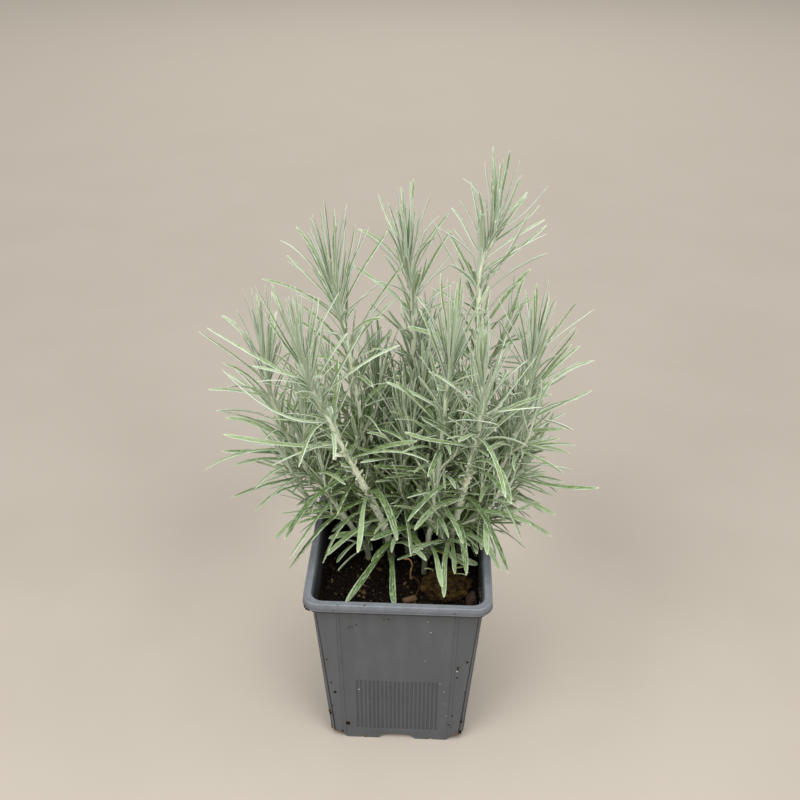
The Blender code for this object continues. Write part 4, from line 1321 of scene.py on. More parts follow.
def stem_material():
    """Pale felt on the stems, browner and barer near the compost."""
    tree = Tree("felted_stem")
    _, tone, height = tree.attribute("growth")
    place = tree.place()
    blotch = tree.noise(place, 420.0, 4.0, 0.6)
    old = tree.ramp(height, 0.30, 0.42, 0.97, 0.0)
    bare = tree.plus(old, tree.ramp(blotch, 0.55, 0.75, 0.0, 0.25), clamp=True)
    colour = tree.mix(bare, STEM_FELT, STEM_OLD)
    colour = tree.mix(tree.ramp(tone, 0.0, 1.0, 0.0, 0.25), colour, LEAF_SILVER)
    x, y, z = tree.split(place)
    strands = tree.noise(tree.vector(x, y, tree.times(z, 0.15)), 3200.0, 3.0, 0.6)
    normal = tree.bump(strands, 0.00015, 0.7, tree.bump(blotch, 0.0004, 0.5))
    return tree.finish(
        colour,
        0.85,
        normal,
        Sheen_Weight=0.2,
        Sheen_Roughness=0.5,
        Specular_IOR_Level=0.25,
    )


def steep(tree, offset):
    """A high power of a distance off the middle, to measure a rounded square."""
    share = tree.math("DIVIDE", tree.math("ABSOLUTE", offset), BODY_TOP_HALF * MM)
    return tree.math("POWER", share, SQUARENESS)


def wall_stain_and_shade(tree, x, y, z, cloud):
    """1 on the inside of the wall up to near the rim: painted shade inside the pot, with the stain of damp
    peat.
    """
    reach = tree.math("POWER", tree.plus(steep(tree, x), steep(tree, y)), 1.0 / SQUARENESS)
    reach = tree.times(reach, BODY_TOP_HALF * MM)
    outside = tree.plus(tree.times(z, OUTER_SLOPE), OUTER_FOOT)
    inside = tree.ramp(tree.math("SUBTRACT", outside, reach), 0.0006, 0.0010)
    damp = tree.ramp(tree.plus(z, tree.times(cloud, 0.008)), 0.0925, 0.1015, 0.95, 0.0)
    return tree.times(inside, damp)


def pot_material():
    """Grey moulded plastic with a fine grain, dusty low down, a painted highlight and rubbed wear on the
    rim, and painted shade under it.
    """
    tree = Tree("pot_plastic")
    place = tree.place()
    x, y, z = tree.split(place)
    cloud = tree.noise(place, 34.0, 4.0, 0.6)
    grain = tree.noise(place, 2100.0, 2.0, 0.5)
    flow = tree.noise(tree.vector(x, y, tree.times(z, 0.2)), 120.0, 3.0, 0.55)
    colour = tree.mix(tree.ramp(cloud, 0.3, 0.7), PLASTIC_DARK, PLASTIC)
    colour = tree.mix(tree.ramp(flow, 0.45, 0.75, 0.0, 0.12), colour, PLASTIC_WORN_AND_HIGHLIGHT)
    # Painted shade: the neck is darkened just under the rim's lip, where its shadow falls.
    neck = tree.times(tree.ramp(z, 0.0912, 0.0920), tree.ramp(z, 0.0955, 0.0960, 0.75, 0.0))
    colour = tree.mix(neck, colour, NECK_PAINTED_SHADE)
    # Painted highlight with rubbed wear: the rim gets paler with height, as its top catches the light,
    # broken up by the rub pattern.
    rim = tree.ramp(z, 0.0955, 0.0992, 0.04, 0.78)
    rub = tree.ramp(tree.noise(place, 260.0, 5.0, 0.65), 0.35, 0.7, 0.62, 0.95)
    colour = tree.mix(tree.times(rim, rub), colour, PLASTIC_WORN_AND_HIGHLIGHT)
    low = tree.ramp(z, 0.0, 0.03, 0.3, 0.04)
    spots = tree.ramp(tree.noise(place, 700.0, 4.0, 0.7), 0.6, 0.75)
    colour = tree.mix(tree.times(low, spots), colour, DUST)
    scuffs = tree.vector(tree.times(x, 0.25), y, tree.times(z, 3.0))
    scratch = tree.ramp(tree.noise(scuffs, 900.0, 3.0, 0.6), 0.68, 0.74, 0.0, 0.22)
    colour = tree.mix(scratch, colour, PLASTIC_WORN_AND_HIGHLIGHT)
    # Painted shade with damp stain on the inside of the wall.
    colour = tree.mix(wall_stain_and_shade(tree, x, y, z, cloud), colour, WALL_STAIN_AND_SHADE)
    normal = tree.bump(grain, 0.00006, 0.55, tree.bump(cloud, 0.0009, 0.35))
    return tree.finish(
        colour,
        tree.ramp(cloud, 0.3, 0.75, 0.42, 0.56),
        normal,
        Specular_IOR_Level=0.45,
    )


def soil_material(name, dark, brown, speck):
    """Damp peat. The growth attribute's x makes a grain pale, and its y sets the grain's tone."""
    tree = Tree(name)
    kind, tone, _ = tree.attribute("growth")
    place = tree.place()
    clump = tree.noise(place, 900.0, 5.0, 0.7)
    colour = tree.mix(tree.ramp(clump, 0.46, 0.7), dark, brown)
    colour = tree.mix(tree.ramp(tone, 0.0, 0.6, 0.8, 0.0), colour, dark)
    colour = tree.mix(tree.ramp(tone, 0.86, 1.0, 0.0, 0.26), colour, speck)
    colour = tree.mix(tree.ramp(kind, 0.5, 1.0), colour, speck)
    normal = tree.bump(tree.noise(place, 2600.0, 4.0, 0.7), 0.0003, 0.8, tree.bump(clump, 0.0008, 0.6))
    return tree.finish(
        colour,
        tree.ramp(clump, 0.3, 0.7, 0.7, 0.95),
        normal,
        Specular_IOR_Level=0.08,
    )


def moss_material():
    """Brown crumbly lump with a thin skin of olive moss on its upper parts."""
    tree = Tree("mossy_clod")
    kind, tone, _ = tree.attribute("growth")
    place = tree.place()
    patch = tree.noise(place, 260.0, 5.0, 0.68)
    colour = tree.mix(tree.ramp(tree.noise(place, 1100.0, 4.0, 0.7), 0.35, 0.7), PEAT_DARK, PEAT_BROWN)
    skin = tree.mix(tree.ramp(tone, 0.0, 1.0), MOSS_BROWN, MOSS_GREEN)
    cover = tree.math("MAXIMUM", kind, tree.ramp(patch, 0.45, 0.62, 0.0, 0.8))
    colour = tree.mix(cover, colour, skin)
    normal = tree.bump(tree.noise(place, 2400.0, 4.0, 0.7), 0.0004, 0.9)
    return tree.finish(colour, 0.92, normal, Specular_IOR_Level=0.06)


def bark_material():
    tree = Tree("bark_flake")
    place = tree.place()
    x, y, z = tree.split(place)
    fibre = tree.noise(tree.vector(tree.times(x, 0.2), y, z), 2200.0, 4.0, 0.65)
    colour = tree.mix(tree.ramp(fibre, 0.35, 0.7), BARK_DARK, BARK_LIGHT)
    return tree.finish(colour, 0.85, tree.bump(fibre, 0.0004, 0.8), Specular_IOR_Level=0.3)


def stalk_material():
    tree = Tree("dry_stalk")
    place = tree.place()
    x, y, z = tree.split(place)
    fibre = tree.noise(tree.vector(x, y, tree.times(z, 0.2)), 1800.0, 4.0, 0.6)
    colour = tree.mix(tree.ramp(fibre, 0.3, 0.7), STALK_DARK, STALK_LIGHT)
    return tree.finish(colour, 0.7, tree.bump(fibre, 0.0003, 0.8), Specular_IOR_Level=0.35)


def dust_material():
    tree = Tree("pale_specks")
    tint = tree.noise(tree.place(), 1500.0, 3.0)
    colour = tree.mix(tint, SPECK_GREY, SPECK_PALE)
    return tree.finish(colour, 0.85, Specular_IOR_Level=0.2)


def floor_material():
    """A pale floor with painted light: brighter around the pot, lifting the plant's shadow, and far behind
    it, as on a paper sweep.
    """
    tree = Tree("floor_paper")
    place = tree.place()
    x, y, _ = tree.split(place)
    soft = tree.noise(place, 9.0, 3.0, 0.5)
    reach = tree.distance(x, tree.math("SUBTRACT", y, PAINTED_LIGHT_MIDDLE))
    # Painted shading from front to back, much brighter far behind.
    colour = tree.mix(tree.ramp(y, *FLOOR_FADE), FLOOR_NEAR, FLOOR_MIDDLE)
    colour = tree.mix(tree.ramp(y, *FLOOR_RISE), colour, FLOOR_FAR)
    # Painted light: the floor is paler around the pot, where the plant's shadow falls.
    colour = tree.mix(tree.ramp(reach, *PAINTED_LIGHT_REACH, 1.0, 0.0), colour, FLOOR_PAINTED_LIGHT)
    colour = tree.mix(tree.ramp(soft, 0.3, 0.7, 0.0, 0.06), colour, FLOOR_FLECK)
    return tree.finish(colour, 0.9, Specular_IOR_Level=0.15)


# Pot


# The pot's corners: angles of the points around each, and which of them lie in its thin lines
CORNER_TURNS = (0, 9, 18, 25, 27, 33, 35, 45, 55, 57, 63, 65, 72, 81, 90)
CORNER_GROOVES = (27, 33, 57, 63)
RIB_END = 0.06
GROOVE_EDGE = 0.12
GROOVE_DEPTH = 0.37
BAR_WIDTH = 1.2
STEP_RUN = 0.25
CORNER_TOP = 57.0
CORNER_DEPTH = 0.7
CORNER_SHALLOW = 0.7
NECK_FOOT = 0.8
INNER_HALF = RIM_HALF - RIM_WIDTH


def circle(x, y, radius, sides):
    turns = [2 * math.pi * k / sides for k in range(sides)]
    return [(x + radius * math.cos(a), y + radius * math.sin(a)) for a in turns]


def turned_side(side, quarter):
    """A side's points, turned to one of the four sides of a square."""
    cos, sin = math.cos(math.pi / 2 * quarter), math.sin(math.pi / 2 * quarter)
    return [(cos * x - sin * y, sin * x + cos * y) for x, y in side]


def arc(centre_half, centre_z, radius, start, end, steps):
    """(half width, height) pairs along an arc, angles in degrees from the outward side."""
    angles = [math.radians(start + (end - start) * k / steps) for k in range(steps + 1)]
    return [(centre_half + radius * math.cos(a), centre_z + radius * math.sin(a)) for a in angles]


def half_side_columns():
    """From the middle of a side outwards: place, share of the grooves' depth, share of the panel's."""
    columns = []
    for k in range(RIB_COUNT // 2, RIB_COUNT):
        x = (k - (RIB_COUNT - 1) / 2) * RIB_PITCH
        half = RIB_WIDTH / 2
        columns += [
            (x - half - GROOVE_EDGE, 0.0, 1.0),
            (x - half + GROOVE_EDGE, 1.0, 1.0),
            (x + half - GROOVE_EDGE, 1.0, 1.0),
            (x + half + GROOVE_EDGE, 0.0, 1.0),
        ]
    outer = PANEL_HALF_TOP + STEP_RUN + BAR_WIDTH
    columns += [(PANEL_HALF_TOP, 0.0, 1.0), (PANEL_HALF_TOP + STEP_RUN, 0.0, 0.0)]
    return columns + [(outer, 0.0, 0.0), (outer + STEP_RUN, 0.0, 1.0)]


def fine_ring(half, radius, z, panel=0.0, grooves=0.0, corner=0.0):
    """One ring of the pot, from its half width and corner radius at a height. panel, grooves and
    corner are shares of their depths there."""
    squeeze = panel_squeeze(z) if panel else 1.0
    right = half_side_columns()
    columns = [(-place, groove, step) for place, groove, step in reversed(right)] + right
    points = []
    for quarter in range(4):
        side = []
        for place, groove, step in columns:
            depth = panel * step * PANEL_STEP + grooves * groove * (quarter % 2) * GROOVE_DEPTH
            beside = squeeze if abs(place) > PANEL_HALF_TOP - 0.1 else 1.0
            side.append((half - depth, place * beside))
        flat = half - panel * PANEL_STEP
        for turn in CORNER_TURNS:
            a = math.radians(turn)
            reach = radius - (corner * CORNER_DEPTH if turn in CORNER_GROOVES else 0.0)
            side.append((flat - radius + reach * math.cos(a), flat - radius + reach * math.sin(a)))
        points += [(x, y, z) for x, y in turned_side(side, quarter)]
    return points


def panel_squeeze(z):
    """How much narrower the panel is at a height than at its top."""
    share = (min(z, NECK_BOTTOM) - BODY_BOTTOM) / (NECK_BOTTOM - BODY_BOTTOM)
    return (PANEL_HALF_BOTTOM + (PANEL_HALF_TOP - PANEL_HALF_BOTTOM) * share) / PANEL_HALF_TOP


def body_half(z):
    share = (z - BODY_BOTTOM) / (NECK_BOTTOM - BODY_BOTTOM)
    return BODY_BOTTOM_HALF + (BODY_TOP_HALF - BODY_BOTTOM_HALF) * share


def body_radius(z):
    """The corners grow rounder from the neck down to the feet."""
    return 5.4 - 2.0 * (z - BODY_BOTTOM) / (NECK_BOTTOM - BODY_BOTTOM)


def body_row(z, panel, grooves, corner):
    return body_half(z), body_radius(z), z, panel, grooves, corner


def wall_profile():
    """The outside of the wall from the foot up to the neck: half width, corner radius, height, and
    the shares of the panel's, the grooves' and the corner lines' depths."""
    foot = NECK_BOTTOM - NECK_FOOT
    return [
        (body_half(BODY_BOTTOM) - 0.6, 4.8, BODY_BOTTOM, 1.0, 0.0, 1.0),
        body_row(BODY_BOTTOM + 0.5, 1.0, 0.0, 1.0),
        body_row(RIB_BOTTOM - RIB_END, 1.0, 0.0, 1.0),
        body_row(RIB_BOTTOM + RIB_END, 1.0, 1.0, 1.0),
        body_row(RIB_TOP - RIB_END, 1.0, 1.0, 1.0),
        body_row(RIB_TOP + RIB_END, 1.0, 0.0, 1.0),
        body_row(CORNER_TOP - 0.3, 1.0, 0.0, 1.0),
        body_row(CORNER_TOP, 1.0, 0.0, CORNER_SHALLOW),
        body_row(foot - 1.3, 1.0, 0.0, CORNER_SHALLOW),
        body_row(foot - 1.0, 0.0, 0.0, 0.0),
        (body_half(foot), 3.6, foot - 0.1),
    ]


def rim_profile():
    """The neck, the rolled rim and its lip, over the top and in to the mouth."""
    neck = arc(NECK_HALF - 0.4, NECK_BOTTOM - NECK_FOOT + 0.4, 0.4, -80, 0, 4)
    outer = arc(RIM_HALF - 0.8, RIM_TOP - 0.55, 0.55, 0, 90, 6)
    inner = arc(INNER_HALF + 0.7, RIM_TOP - 1.0, 0.7, 90, 180, 5)
    rows = [(half, 4.6, z) for half, z in neck]
    rows += [(NECK_HALF, 5.0, LIP_BOTTOM - 0.3), (NECK_HALF + 0.3, 5.4, LIP_BOTTOM)]
    rows += [(RIM_HALF - 0.1, 8.0, LIP_BOTTOM), (RIM_HALF + 0.12, 8.2, LIP_BOTTOM + 0.12)]
    rows += [(RIM_HALF + 0.12, 8.2, LIP_BOTTOM + 0.34), (RIM_HALF - 0.08, 8.1, LIP_BOTTOM + 0.6)]
    rows += [(half, 8.0, z) for half, z in outer]
    rows += [(RIM_HALF - 1.15, 7.6, RIM_TOP - 0.02), (RIM_HALF - 1.6, 7.3, RIM_TOP - 0.24)]
    rows.append((INNER_HALF + 0.9, 6.7, RIM_TOP - 0.3))
    return rows + [(half, 6.4, z) for half, z in inner]


def inside_profile():
    floor = body_half(FLOOR_TOP) - WALL
    return [
        (BODY_TOP_HALF - WALL, 6.2, NECK_BOTTOM - 0.8),
        (body_half(50.0) - WALL, 6.1, 50.0),
        (floor, 6.0, FLOOR_TOP + FLOOR_FILLET),
        (floor - FLOOR_FILLET, 5.2, FLOOR_TOP),
    ]


def plain_object(name, points, faces, collection=None):
    """An object from points in millimetres, its faces turned outwards."""
    mesh = bpy.data.meshes.new(name)
    mesh.from_pydata([tuple(c * MM for c in p) for p in points], [], faces)
    shape = bmesh.new()
    shape.from_mesh(mesh)
    bmesh.ops.recalc_face_normals(shape, faces=shape.faces)
    shape.to_mesh(mesh)
    shape.free()
    obj = bpy.data.objects.new(name, mesh)
    (collection or bpy.context.scene.collection).objects.link(obj)
    return obj


def prism_faces(count):
    faces = [tuple(range(count)), tuple(range(count, 2 * count))]
    return faces + [(i, (i + 1) % count, (i + 1) % count + count, i + count) for i in range(count)]


def quarter_turns(points, turns):
    for _ in range(turns):
        points = [(-y, x, z) for x, y, z in points]
    return points


def foot_outline(side):
    """The outline of one foot seen from the front, on the left (-1) or right (1) half of a side."""
    top = BODY_BOTTOM + 0.6
    outline = [(FOOT_OUTER + FOOT_SLOPE, top), (FOOT_OUTER + 0.25, 0.25), (FOOT_OUTER, 0.0)]
    for k in range(9):
        a = math.pi * k / 8
        outline.append((FOOT_NOTCH + 0.8 * math.cos(a), 1.1 * math.sin(a) ** 0.6))
    outline += [(FOOT_INNER, 0.0), (FOOT_INNER - 0.25, 0.25), (FOOT_INNER - FOOT_SLOPE, top)]
    return [(side * x, z) for x, z in outline]


def add_feet(collection):
    front = -(BODY_BOTTOM_HALF - 0.45)
    for turns in range(4):
        for side in (-1, 1):
            outline = foot_outline(side)
            points = [(x, front + FOOT_DEPTH * near, z) for near in (0, 1) for x, z in outline]
            plain_object("foot", quarter_turns(points, turns), prism_faces(len(outline)), collection)


def add_drains(collection):
    corners = [(sx * DRAIN_PLACE, sy * DRAIN_PLACE) for sx in (-1, 1) for sy in (-1, 1)]
    for x, y in [(0.0, 0.0)] + corners:
        ring = circle(x, y, DRAIN_RADIUS, DRAIN_SIDES)
        points = [(x, y, z) for z in (BODY_BOTTOM - 2, FLOOR_TOP + 2) for x, y in ring]
        plain_object("drain", points, prism_faces(DRAIN_SIDES), collection)


MARK_PLACE = (-22.3, 81.7)
MARK_RADII = (0.75, 1.2)
MARK_DEPTH = 0.3
MARK_SIDES = 20


def add_mould_mark(collection):
    """A small ring that the mould leaves high on the front."""
    wall = -body_half(MARK_PLACE[1]) + PANEL_STEP
    points = []
    for radius in MARK_RADII:
        ring = circle(*MARK_PLACE, radius, MARK_SIDES)
        points += [(x, y, z) for y in (wall - 1.0, wall + MARK_DEPTH) for x, z in ring]
    faces = []
    for k in range(MARK_SIDES):
        n = (k + 1) % MARK_SIDES
        for a, b in ((0, 1), (1, 3), (3, 2), (2, 0)):
            a, b = a * MARK_SIDES, b * MARK_SIDES
            faces.append((a + k, a + n, b + n, b + k))
    plain_object("mark", points, faces, collection)


def boolean(obj, collection, operation):
    """Joins or cuts with every object of the collection, then removes them."""
    modifier = obj.modifiers.new(operation.title(), "BOOLEAN")
    modifier.operation = operation
    modifier.solver = "EXACT"
    modifier.operand_type = "COLLECTION"
    modifier.collection = collection
    done = bpy.data.meshes.new_from_object(obj.evaluated_get(bpy.context.evaluated_depsgraph_get()))
    obj.modifiers.clear()
    obj.data = done
    for other in list(collection.objects):
        bpy.data.objects.remove(other, do_unlink=True)
    bpy.data.collections.remove(collection)


def helper_collection(name):
    collection = bpy.data.collections.new(name)
    bpy.context.scene.collection.children.link(collection)
    return collection


def build_pot(material):
    rings = [fine_ring(*row) for row in wall_profile() + rim_profile() + inside_profile()]
    count = len(rings[0])
    points = [p for ring in rings for p in ring]
    faces = ring_faces(len(rings), count)
    faces.append(tuple(range(len(points) - count, len(points))))
    pot = plain_object("pot_shell", points, faces)
    feet = helper_collection("feet")
    add_feet(feet)
    boolean(pot, feet, "UNION")
    cuts = helper_collection("cuts")
    add_drains(cuts)
    add_mould_mark(cuts)
    boolean(pot, cuts, "DIFFERENCE")
    pot.data.materials.clear()
    pot.data.materials.append(material)
    pot.data.shade_smooth()
    pot.data.set_sharp_from_angle(angle=math.radians(20))
    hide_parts("pot")
    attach(pot, "root")


# Dirt on the pot's front wall: place across, height and size of each dark crumb, then of each
# group of brown ones and of each pale speck
WALL_CRUMBS = (
    (-31.2, 34.7, 0.8), (-34.3, 18.1, 1.0), (-33.9, 16.6, 0.7), (-25.3, 11.0, 1.1),
    (-24.6, 10.2, 0.6), (-33.0, 41.7, 0.45), (-28.2, 4.3, 0.6), (30.0, 56.1, 0.6),
    (30.0, 54.8, 0.5), (29.8, 48.4, 0.5), (34.4, 60.0, 0.6), (26.9, 12.5, 0.9),
    (28.4, 19.3, 0.45), (33.0, 13.9, 0.7), (32.8, 5.7, 0.9), (-6.3, 88.1, 0.35),
    (-4.2, 88.2, 0.4), (-19.5, 83.7, 0.35), (33.9, 37.3, 0.4), (-34.6, 58.6, 0.4),
    (-32.6, 24.1, 0.4), (33.4, 16.5, 0.35), (27.6, 10.6, 0.5),
)
BROWN_CRUMBS = (
    (-34.2, 6.0, 0.7), (-33.6, 4.6, 0.8), (-32.4, 4.0, 0.7), (-31.0, 3.7, 0.6),
    (-29.4, 3.5, 0.6), (-25.2, 12.4, 0.35), (-16.6, 0.8, 0.7), (-15.2, 0.7, 0.5),
    (16.3, 0.9, 0.6), (34.6, 17.6, 0.5), (34.3, 12.2, 0.6), (32.9, 11.4, 0.6),
    (29.5, 4.4, 0.7), (31.6, 4.0, 0.8), (33.0, 3.9, 0.7), (34.0, 61.5, 0.5),
)
WALL_SPECKS = (
    (-19.1, 37.2, 0.45), (16.1, 80.1, 0.35), (14.7, 87.3, 0.3), (13.7, 59.9, 0.3),
    (-27.9, 38.2, 0.22), (-27.6, 34.7, 0.25), (-28.0, 30.8, 0.2), (-27.3, 27.2, 0.25),
    (-27.1, 24.0, 0.25), (-26.9, 19.6, 0.25), (-14.1, 28.2, 0.2), (29.6, 53.1, 0.5),
    (23.6, 37.5, 0.3), (24.4, 28.4, 0.3), (25.1, 19.0, 0.3), (21.5, 43.4, 0.3),
)

# Crumbs that cling to the rim, as place and size
RIM_CRUMBS = (
    ((-27.8, -44.4, 99.9), 0.3), ((-15.1, -44.2, 100.0), 0.4), ((-29.7, -45.1, 96.8), 0.25),
    ((-43.4, -41.4, 95.7), 0.8), ((-42.5, -42.4, 95.4), 0.9), ((-41.4, -43.0, 95.2), 0.7),
    ((27.0, -45.1, 97.6), 0.3),
)
# Pale scuffs on the inside of the right wall, as place and size
WALL_SCUFFS = (
    ((39.5, -24.5, 93.0), 0.5), ((39.5, -26.5, 92.4), 0.35),
    ((39.2, -30.8, 92.0), 0.45), ((39.4, -22.8, 93.8), 0.3),
)


def unit_lump(detail):
    """Points and faces of a small round lump."""
    shape = bmesh.new()
    bmesh.ops.create_icosphere(shape, subdivisions=detail, radius=1.0)
    points = np.array([v.co for v in shape.verts])
    faces = [tuple(v.index for v in face.verts) for face in shape.faces]
    shape.free()
    return points, faces


SMALL_LUMP = unit_lump(1)
ROUND_LUMP = unit_lump(2)


def add_lump(builder, place, size, rng, kind, template=SMALL_LUMP, squash=(1.0, 1.0, 0.8), slot=0):
    """An irregular grain of the given radius."""
    points, faces = template
    turn = Matrix.Rotation(rng.uniform(0, 6.3), 3, Vector((rng.gauss(0, 1), rng.gauss(0, 1), 1.0)))
    reach = np.array([rng.uniform(0.72, 1.15) for _ in points])
    shape = points * reach[:, None] @ np.array(turn).T * np.array(squash) * size
    builder.add(shape + np.array(place), faces, slot, (0, 0, 0), (kind, rng.random(), 0.0))


def front_wall(x, z):
    """A point on the outside of the pot's front wall, following its rounded corners."""
    half = body_half(z) - PANEL_STEP
    radius = body_radius(z)
    corner = half - radius
    if abs(x) <= corner:
        return (x, -half, z)
    lean = min(1.0, (abs(x) - corner) / radius)
    return (x, -(corner + radius * math.sqrt(1.0 - lean * lean)), z)


def build_wall_dirt(crumb_material, speck_material):
    rng = random.Random(41)
    builder = MeshBuilder()
    for x, z, size in WALL_CRUMBS:
        add_lump(builder, front_wall(x, z), size, rng, 0.2, ROUND_LUMP, (1.0, 0.5, 1.1))
        for _ in range(3):
            near = front_wall(x + rng.gauss(0, 1.1), max(2.6, z + rng.gauss(0, 1.2)))
            small = size * rng.uniform(0.15, 0.35)
            add_lump(builder, near, small, rng, 0.1, SMALL_LUMP, (1.0, 0.6, 1.0))
    for x, z, size in BROWN_CRUMBS:
        for _ in range(3):
            near = front_wall(x + rng.gauss(0, 0.4), max(size, z + rng.gauss(0, 0.3)))
            small = size * rng.uniform(0.4, 1.0)
            add_lump(builder, near, small, rng, 0.72, SMALL_LUMP, (1.0, 0.7, 0.8))
    for place, size in RIM_CRUMBS:
        add_lump(builder, place, size, rng, 0.3, ROUND_LUMP)
    for place, size in WALL_SCUFFS:
        add_lump(builder, place, size, rng, 0.0, SMALL_LUMP, (0.4, 1.3, 1.6), 1)
    for x, z, size in WALL_SPECKS:
        add_lump(builder, front_wall(x, z), size, rng, 0.0, SMALL_LUMP, (1.0, 0.45, 1.0), 1)
    piece = builder.build("pot_dirt", [crumb_material, speck_material])
    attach(piece, "root")


# Compost


SOIL_ROWS = 72
SOIL_CORNER = 24
SOIL_ROUND = 0.155
SOIL_SIDE = 34
CRUMB_COUNT = 3400
CHUNK_COUNT = 420
GRAIN_COUNT = 150
FIBRE_COUNT = 40


def soil_outline():
    """A rounded square of half width 1, as many points."""
    flat = 1.0 - SOIL_ROUND
    side = [(1.0, flat * (2 * k / SOIL_SIDE - 1)) for k in range(1, SOIL_SIDE)]
    for k in range(SOIL_CORNER + 1):
        a = math.pi / 2 * k / SOIL_CORNER
        side.append((flat + SOIL_ROUND * math.cos(a), flat + SOIL_ROUND * math.sin(a)))
    return [point for quarter in range(4) for point in turned_side(side, quarter)]


def compost_half(z):
    share = (z - FLOOR_TOP) / (NECK_BOTTOM - FLOOR_TOP)
    low, high = body_half(FLOOR_TOP) - WALL, BODY_TOP_HALF - WALL
    return low + (high - low) * share - SOIL_GAP


def rough_soil(x, y):
    """The compost's height with its crumbly relief."""
    loose = 1.0 - 0.6 * pad_share(x, y)
    coarse = noise.turbulence(Vector((x * 0.16, y * 0.16, 3.1)), 3, False)
    fine = noise.fractal(Vector((x * 0.75, y * 0.75, 7.7)), 0.8, 2.0, 4)
    return soil_height(x, y) + loose * (1.6 * coarse + 0.55 * fine - 0.7)


def build_compost(material):
    outline = soil_outline()
    bottom = FLOOR_TOP + SOIL_GAP
    low = compost_half(bottom) - FLOOR_FILLET
    rows = [[(u * low, v * low, bottom) for u, v in outline]]
    low = compost_half(bottom + FLOOR_FILLET)
    rows.append([(u * low, v * low, bottom + FLOOR_FILLET) for u, v in outline])
    for i in range(SOIL_ROWS):
        share = 1.0 - i / SOIL_ROWS
        row = []
        for u, v in outline:
            half = compost_half(SOIL_LEVEL) * share
            row.append((u * half, v * half, rough_soil(u * half, v * half)))
        rows.append(row)
    points = [p for row in rows for p in row] + [(0.0, 0.0, rough_soil(0.0, 0.0))]
    builder = MeshBuilder()
    builder.add(points, tipped_faces(len(rows), len(outline)), 0, (0, 0, 0), (0.0, 0.3, 0.0))
    piece = builder.build("compost_bed", [material], 180)
    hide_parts("compost")
    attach(piece, "root")


def scatter_place(rng, margin=1.5):
    half = compost_half(SOIL_LEVEL) - margin
    return rng.uniform(-half, half), rng.uniform(-half, half)


def build_crumbs(material):
    """Loose crumbs, chunks, pale grains and fibres on the compost."""
    rng = random.Random(77)
    builder = MeshBuilder()
    for count, smallest, largest, kind, template in (
        (CRUMB_COUNT, 0.25, 0.8, 0.0, SMALL_LUMP),
        (CHUNK_COUNT, 0.8, 1.7, 0.3, ROUND_LUMP),
        (GRAIN_COUNT, 0.16, 0.4, 1.0, SMALL_LUMP),
    ):
        for _ in range(count):
            x, y = scatter_place(rng, largest)
            size = smallest + (largest - smallest) * rng.random() ** 2.5
            place = (x, y, max(rough_soil(x, y), 0.0) + size * rng.uniform(0.0, 0.5))
            add_lump(builder, place, size, rng, kind, template)
    for _ in range(FIBRE_COUNT):
        add_fibre(builder, rng)
    piece = builder.build("compost_crumbs", [material])
    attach(piece, "root")


def add_fibre(builder, rng):
    """A thin root or peat fibre lying over the crumbs."""
    x, y = scatter_place(rng, 6.0)
    angle = rng.uniform(0, 6.3)
    length = rng.uniform(2.0, 6.0)
    bend = rng.uniform(-1.0, 1.0)
    line = []
    for k in range(7):
        s = k / 6
        px = x + math.cos(angle + bend * s) * length * (s - 0.5)
        py = y + math.sin(angle + bend * s) * length * (s - 0.5)
        line.append((px, py, rough_soil(px, py) + 0.35 + 0.5 * math.sin(math.pi * s)))
    radius = rng.uniform(0.06, 0.14)
    growth = (rng.choice((0.1, 0.6)), rng.random(), 0.0)
    add_tube(builder, np.array(line), np.full(7, radius), 5, growth)


def add_tube(builder, line, radii, sides, growth):
    """A plain tube along a line, closed to a point, in the first material."""
    points = tube_points(line, radii, sides, (0.3, 0.2, 1.0))
    builder.add(points, tipped_faces(len(line), sides), 0, (0, 0, 0), growth)


MOSS_STRANDS = 1500


def clod_point(place, direction, amplitude, seed):
    """Where the surface of a clod lies in a direction from its middle, flattened underneath."""
    cx, cy, half_x, half_y, height, _ = place
    d = Vector(direction)
    lump = noise.fractal(d * 1.7 + Vector((seed, 0, 0)), 0.9, 2.0, 5)
    reach = 0.93 + amplitude * lump
    x = cx + half_x * d.x * reach
    y = cy + half_y * d.y * reach
    z = PAD_LEVEL + HOLE_GAP + max(0.0, height * (0.28 + 0.72 * d.z * reach))
    return x, y, z


def build_clod(name, material, amplitude, strands, seed):
    place = CLODS[name]
    rng = random.Random(seed)
    points, faces = unit_lump(6 if strands else 5)
    builder = MeshBuilder()
    shaped = [clod_point(place, p, amplitude, seed) for p in points]
    builder.add(shaped, faces, 0, (0, 0, 0), (0.0, 0.4, 0.0))
    for _ in range(strands):
        direction = unit(np.array((rng.gauss(0, 1), rng.gauss(0, 1), abs(rng.gauss(0, 1)) + 0.1)))
        root = np.array(clod_point(place, direction, amplitude, seed))
        if noise.noise(Vector(root) * 0.22) < -0.05:
            continue
        lean = unit(direction + np.array((rng.gauss(0, 0.6), rng.gauss(0, 0.6), 0.3)))
        length = rng.uniform(0.3, 0.8)
        line = np.array([root - lean * 0.2, root + lean * length * 0.5, root + lean * length])
        add_tube(builder, line, (0.13, 0.11, 0.03), 3, (1.0, rng.random(), 0.0))
    piece = builder.build(name + "_lump", [material])
    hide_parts(name)
    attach(piece, "root")


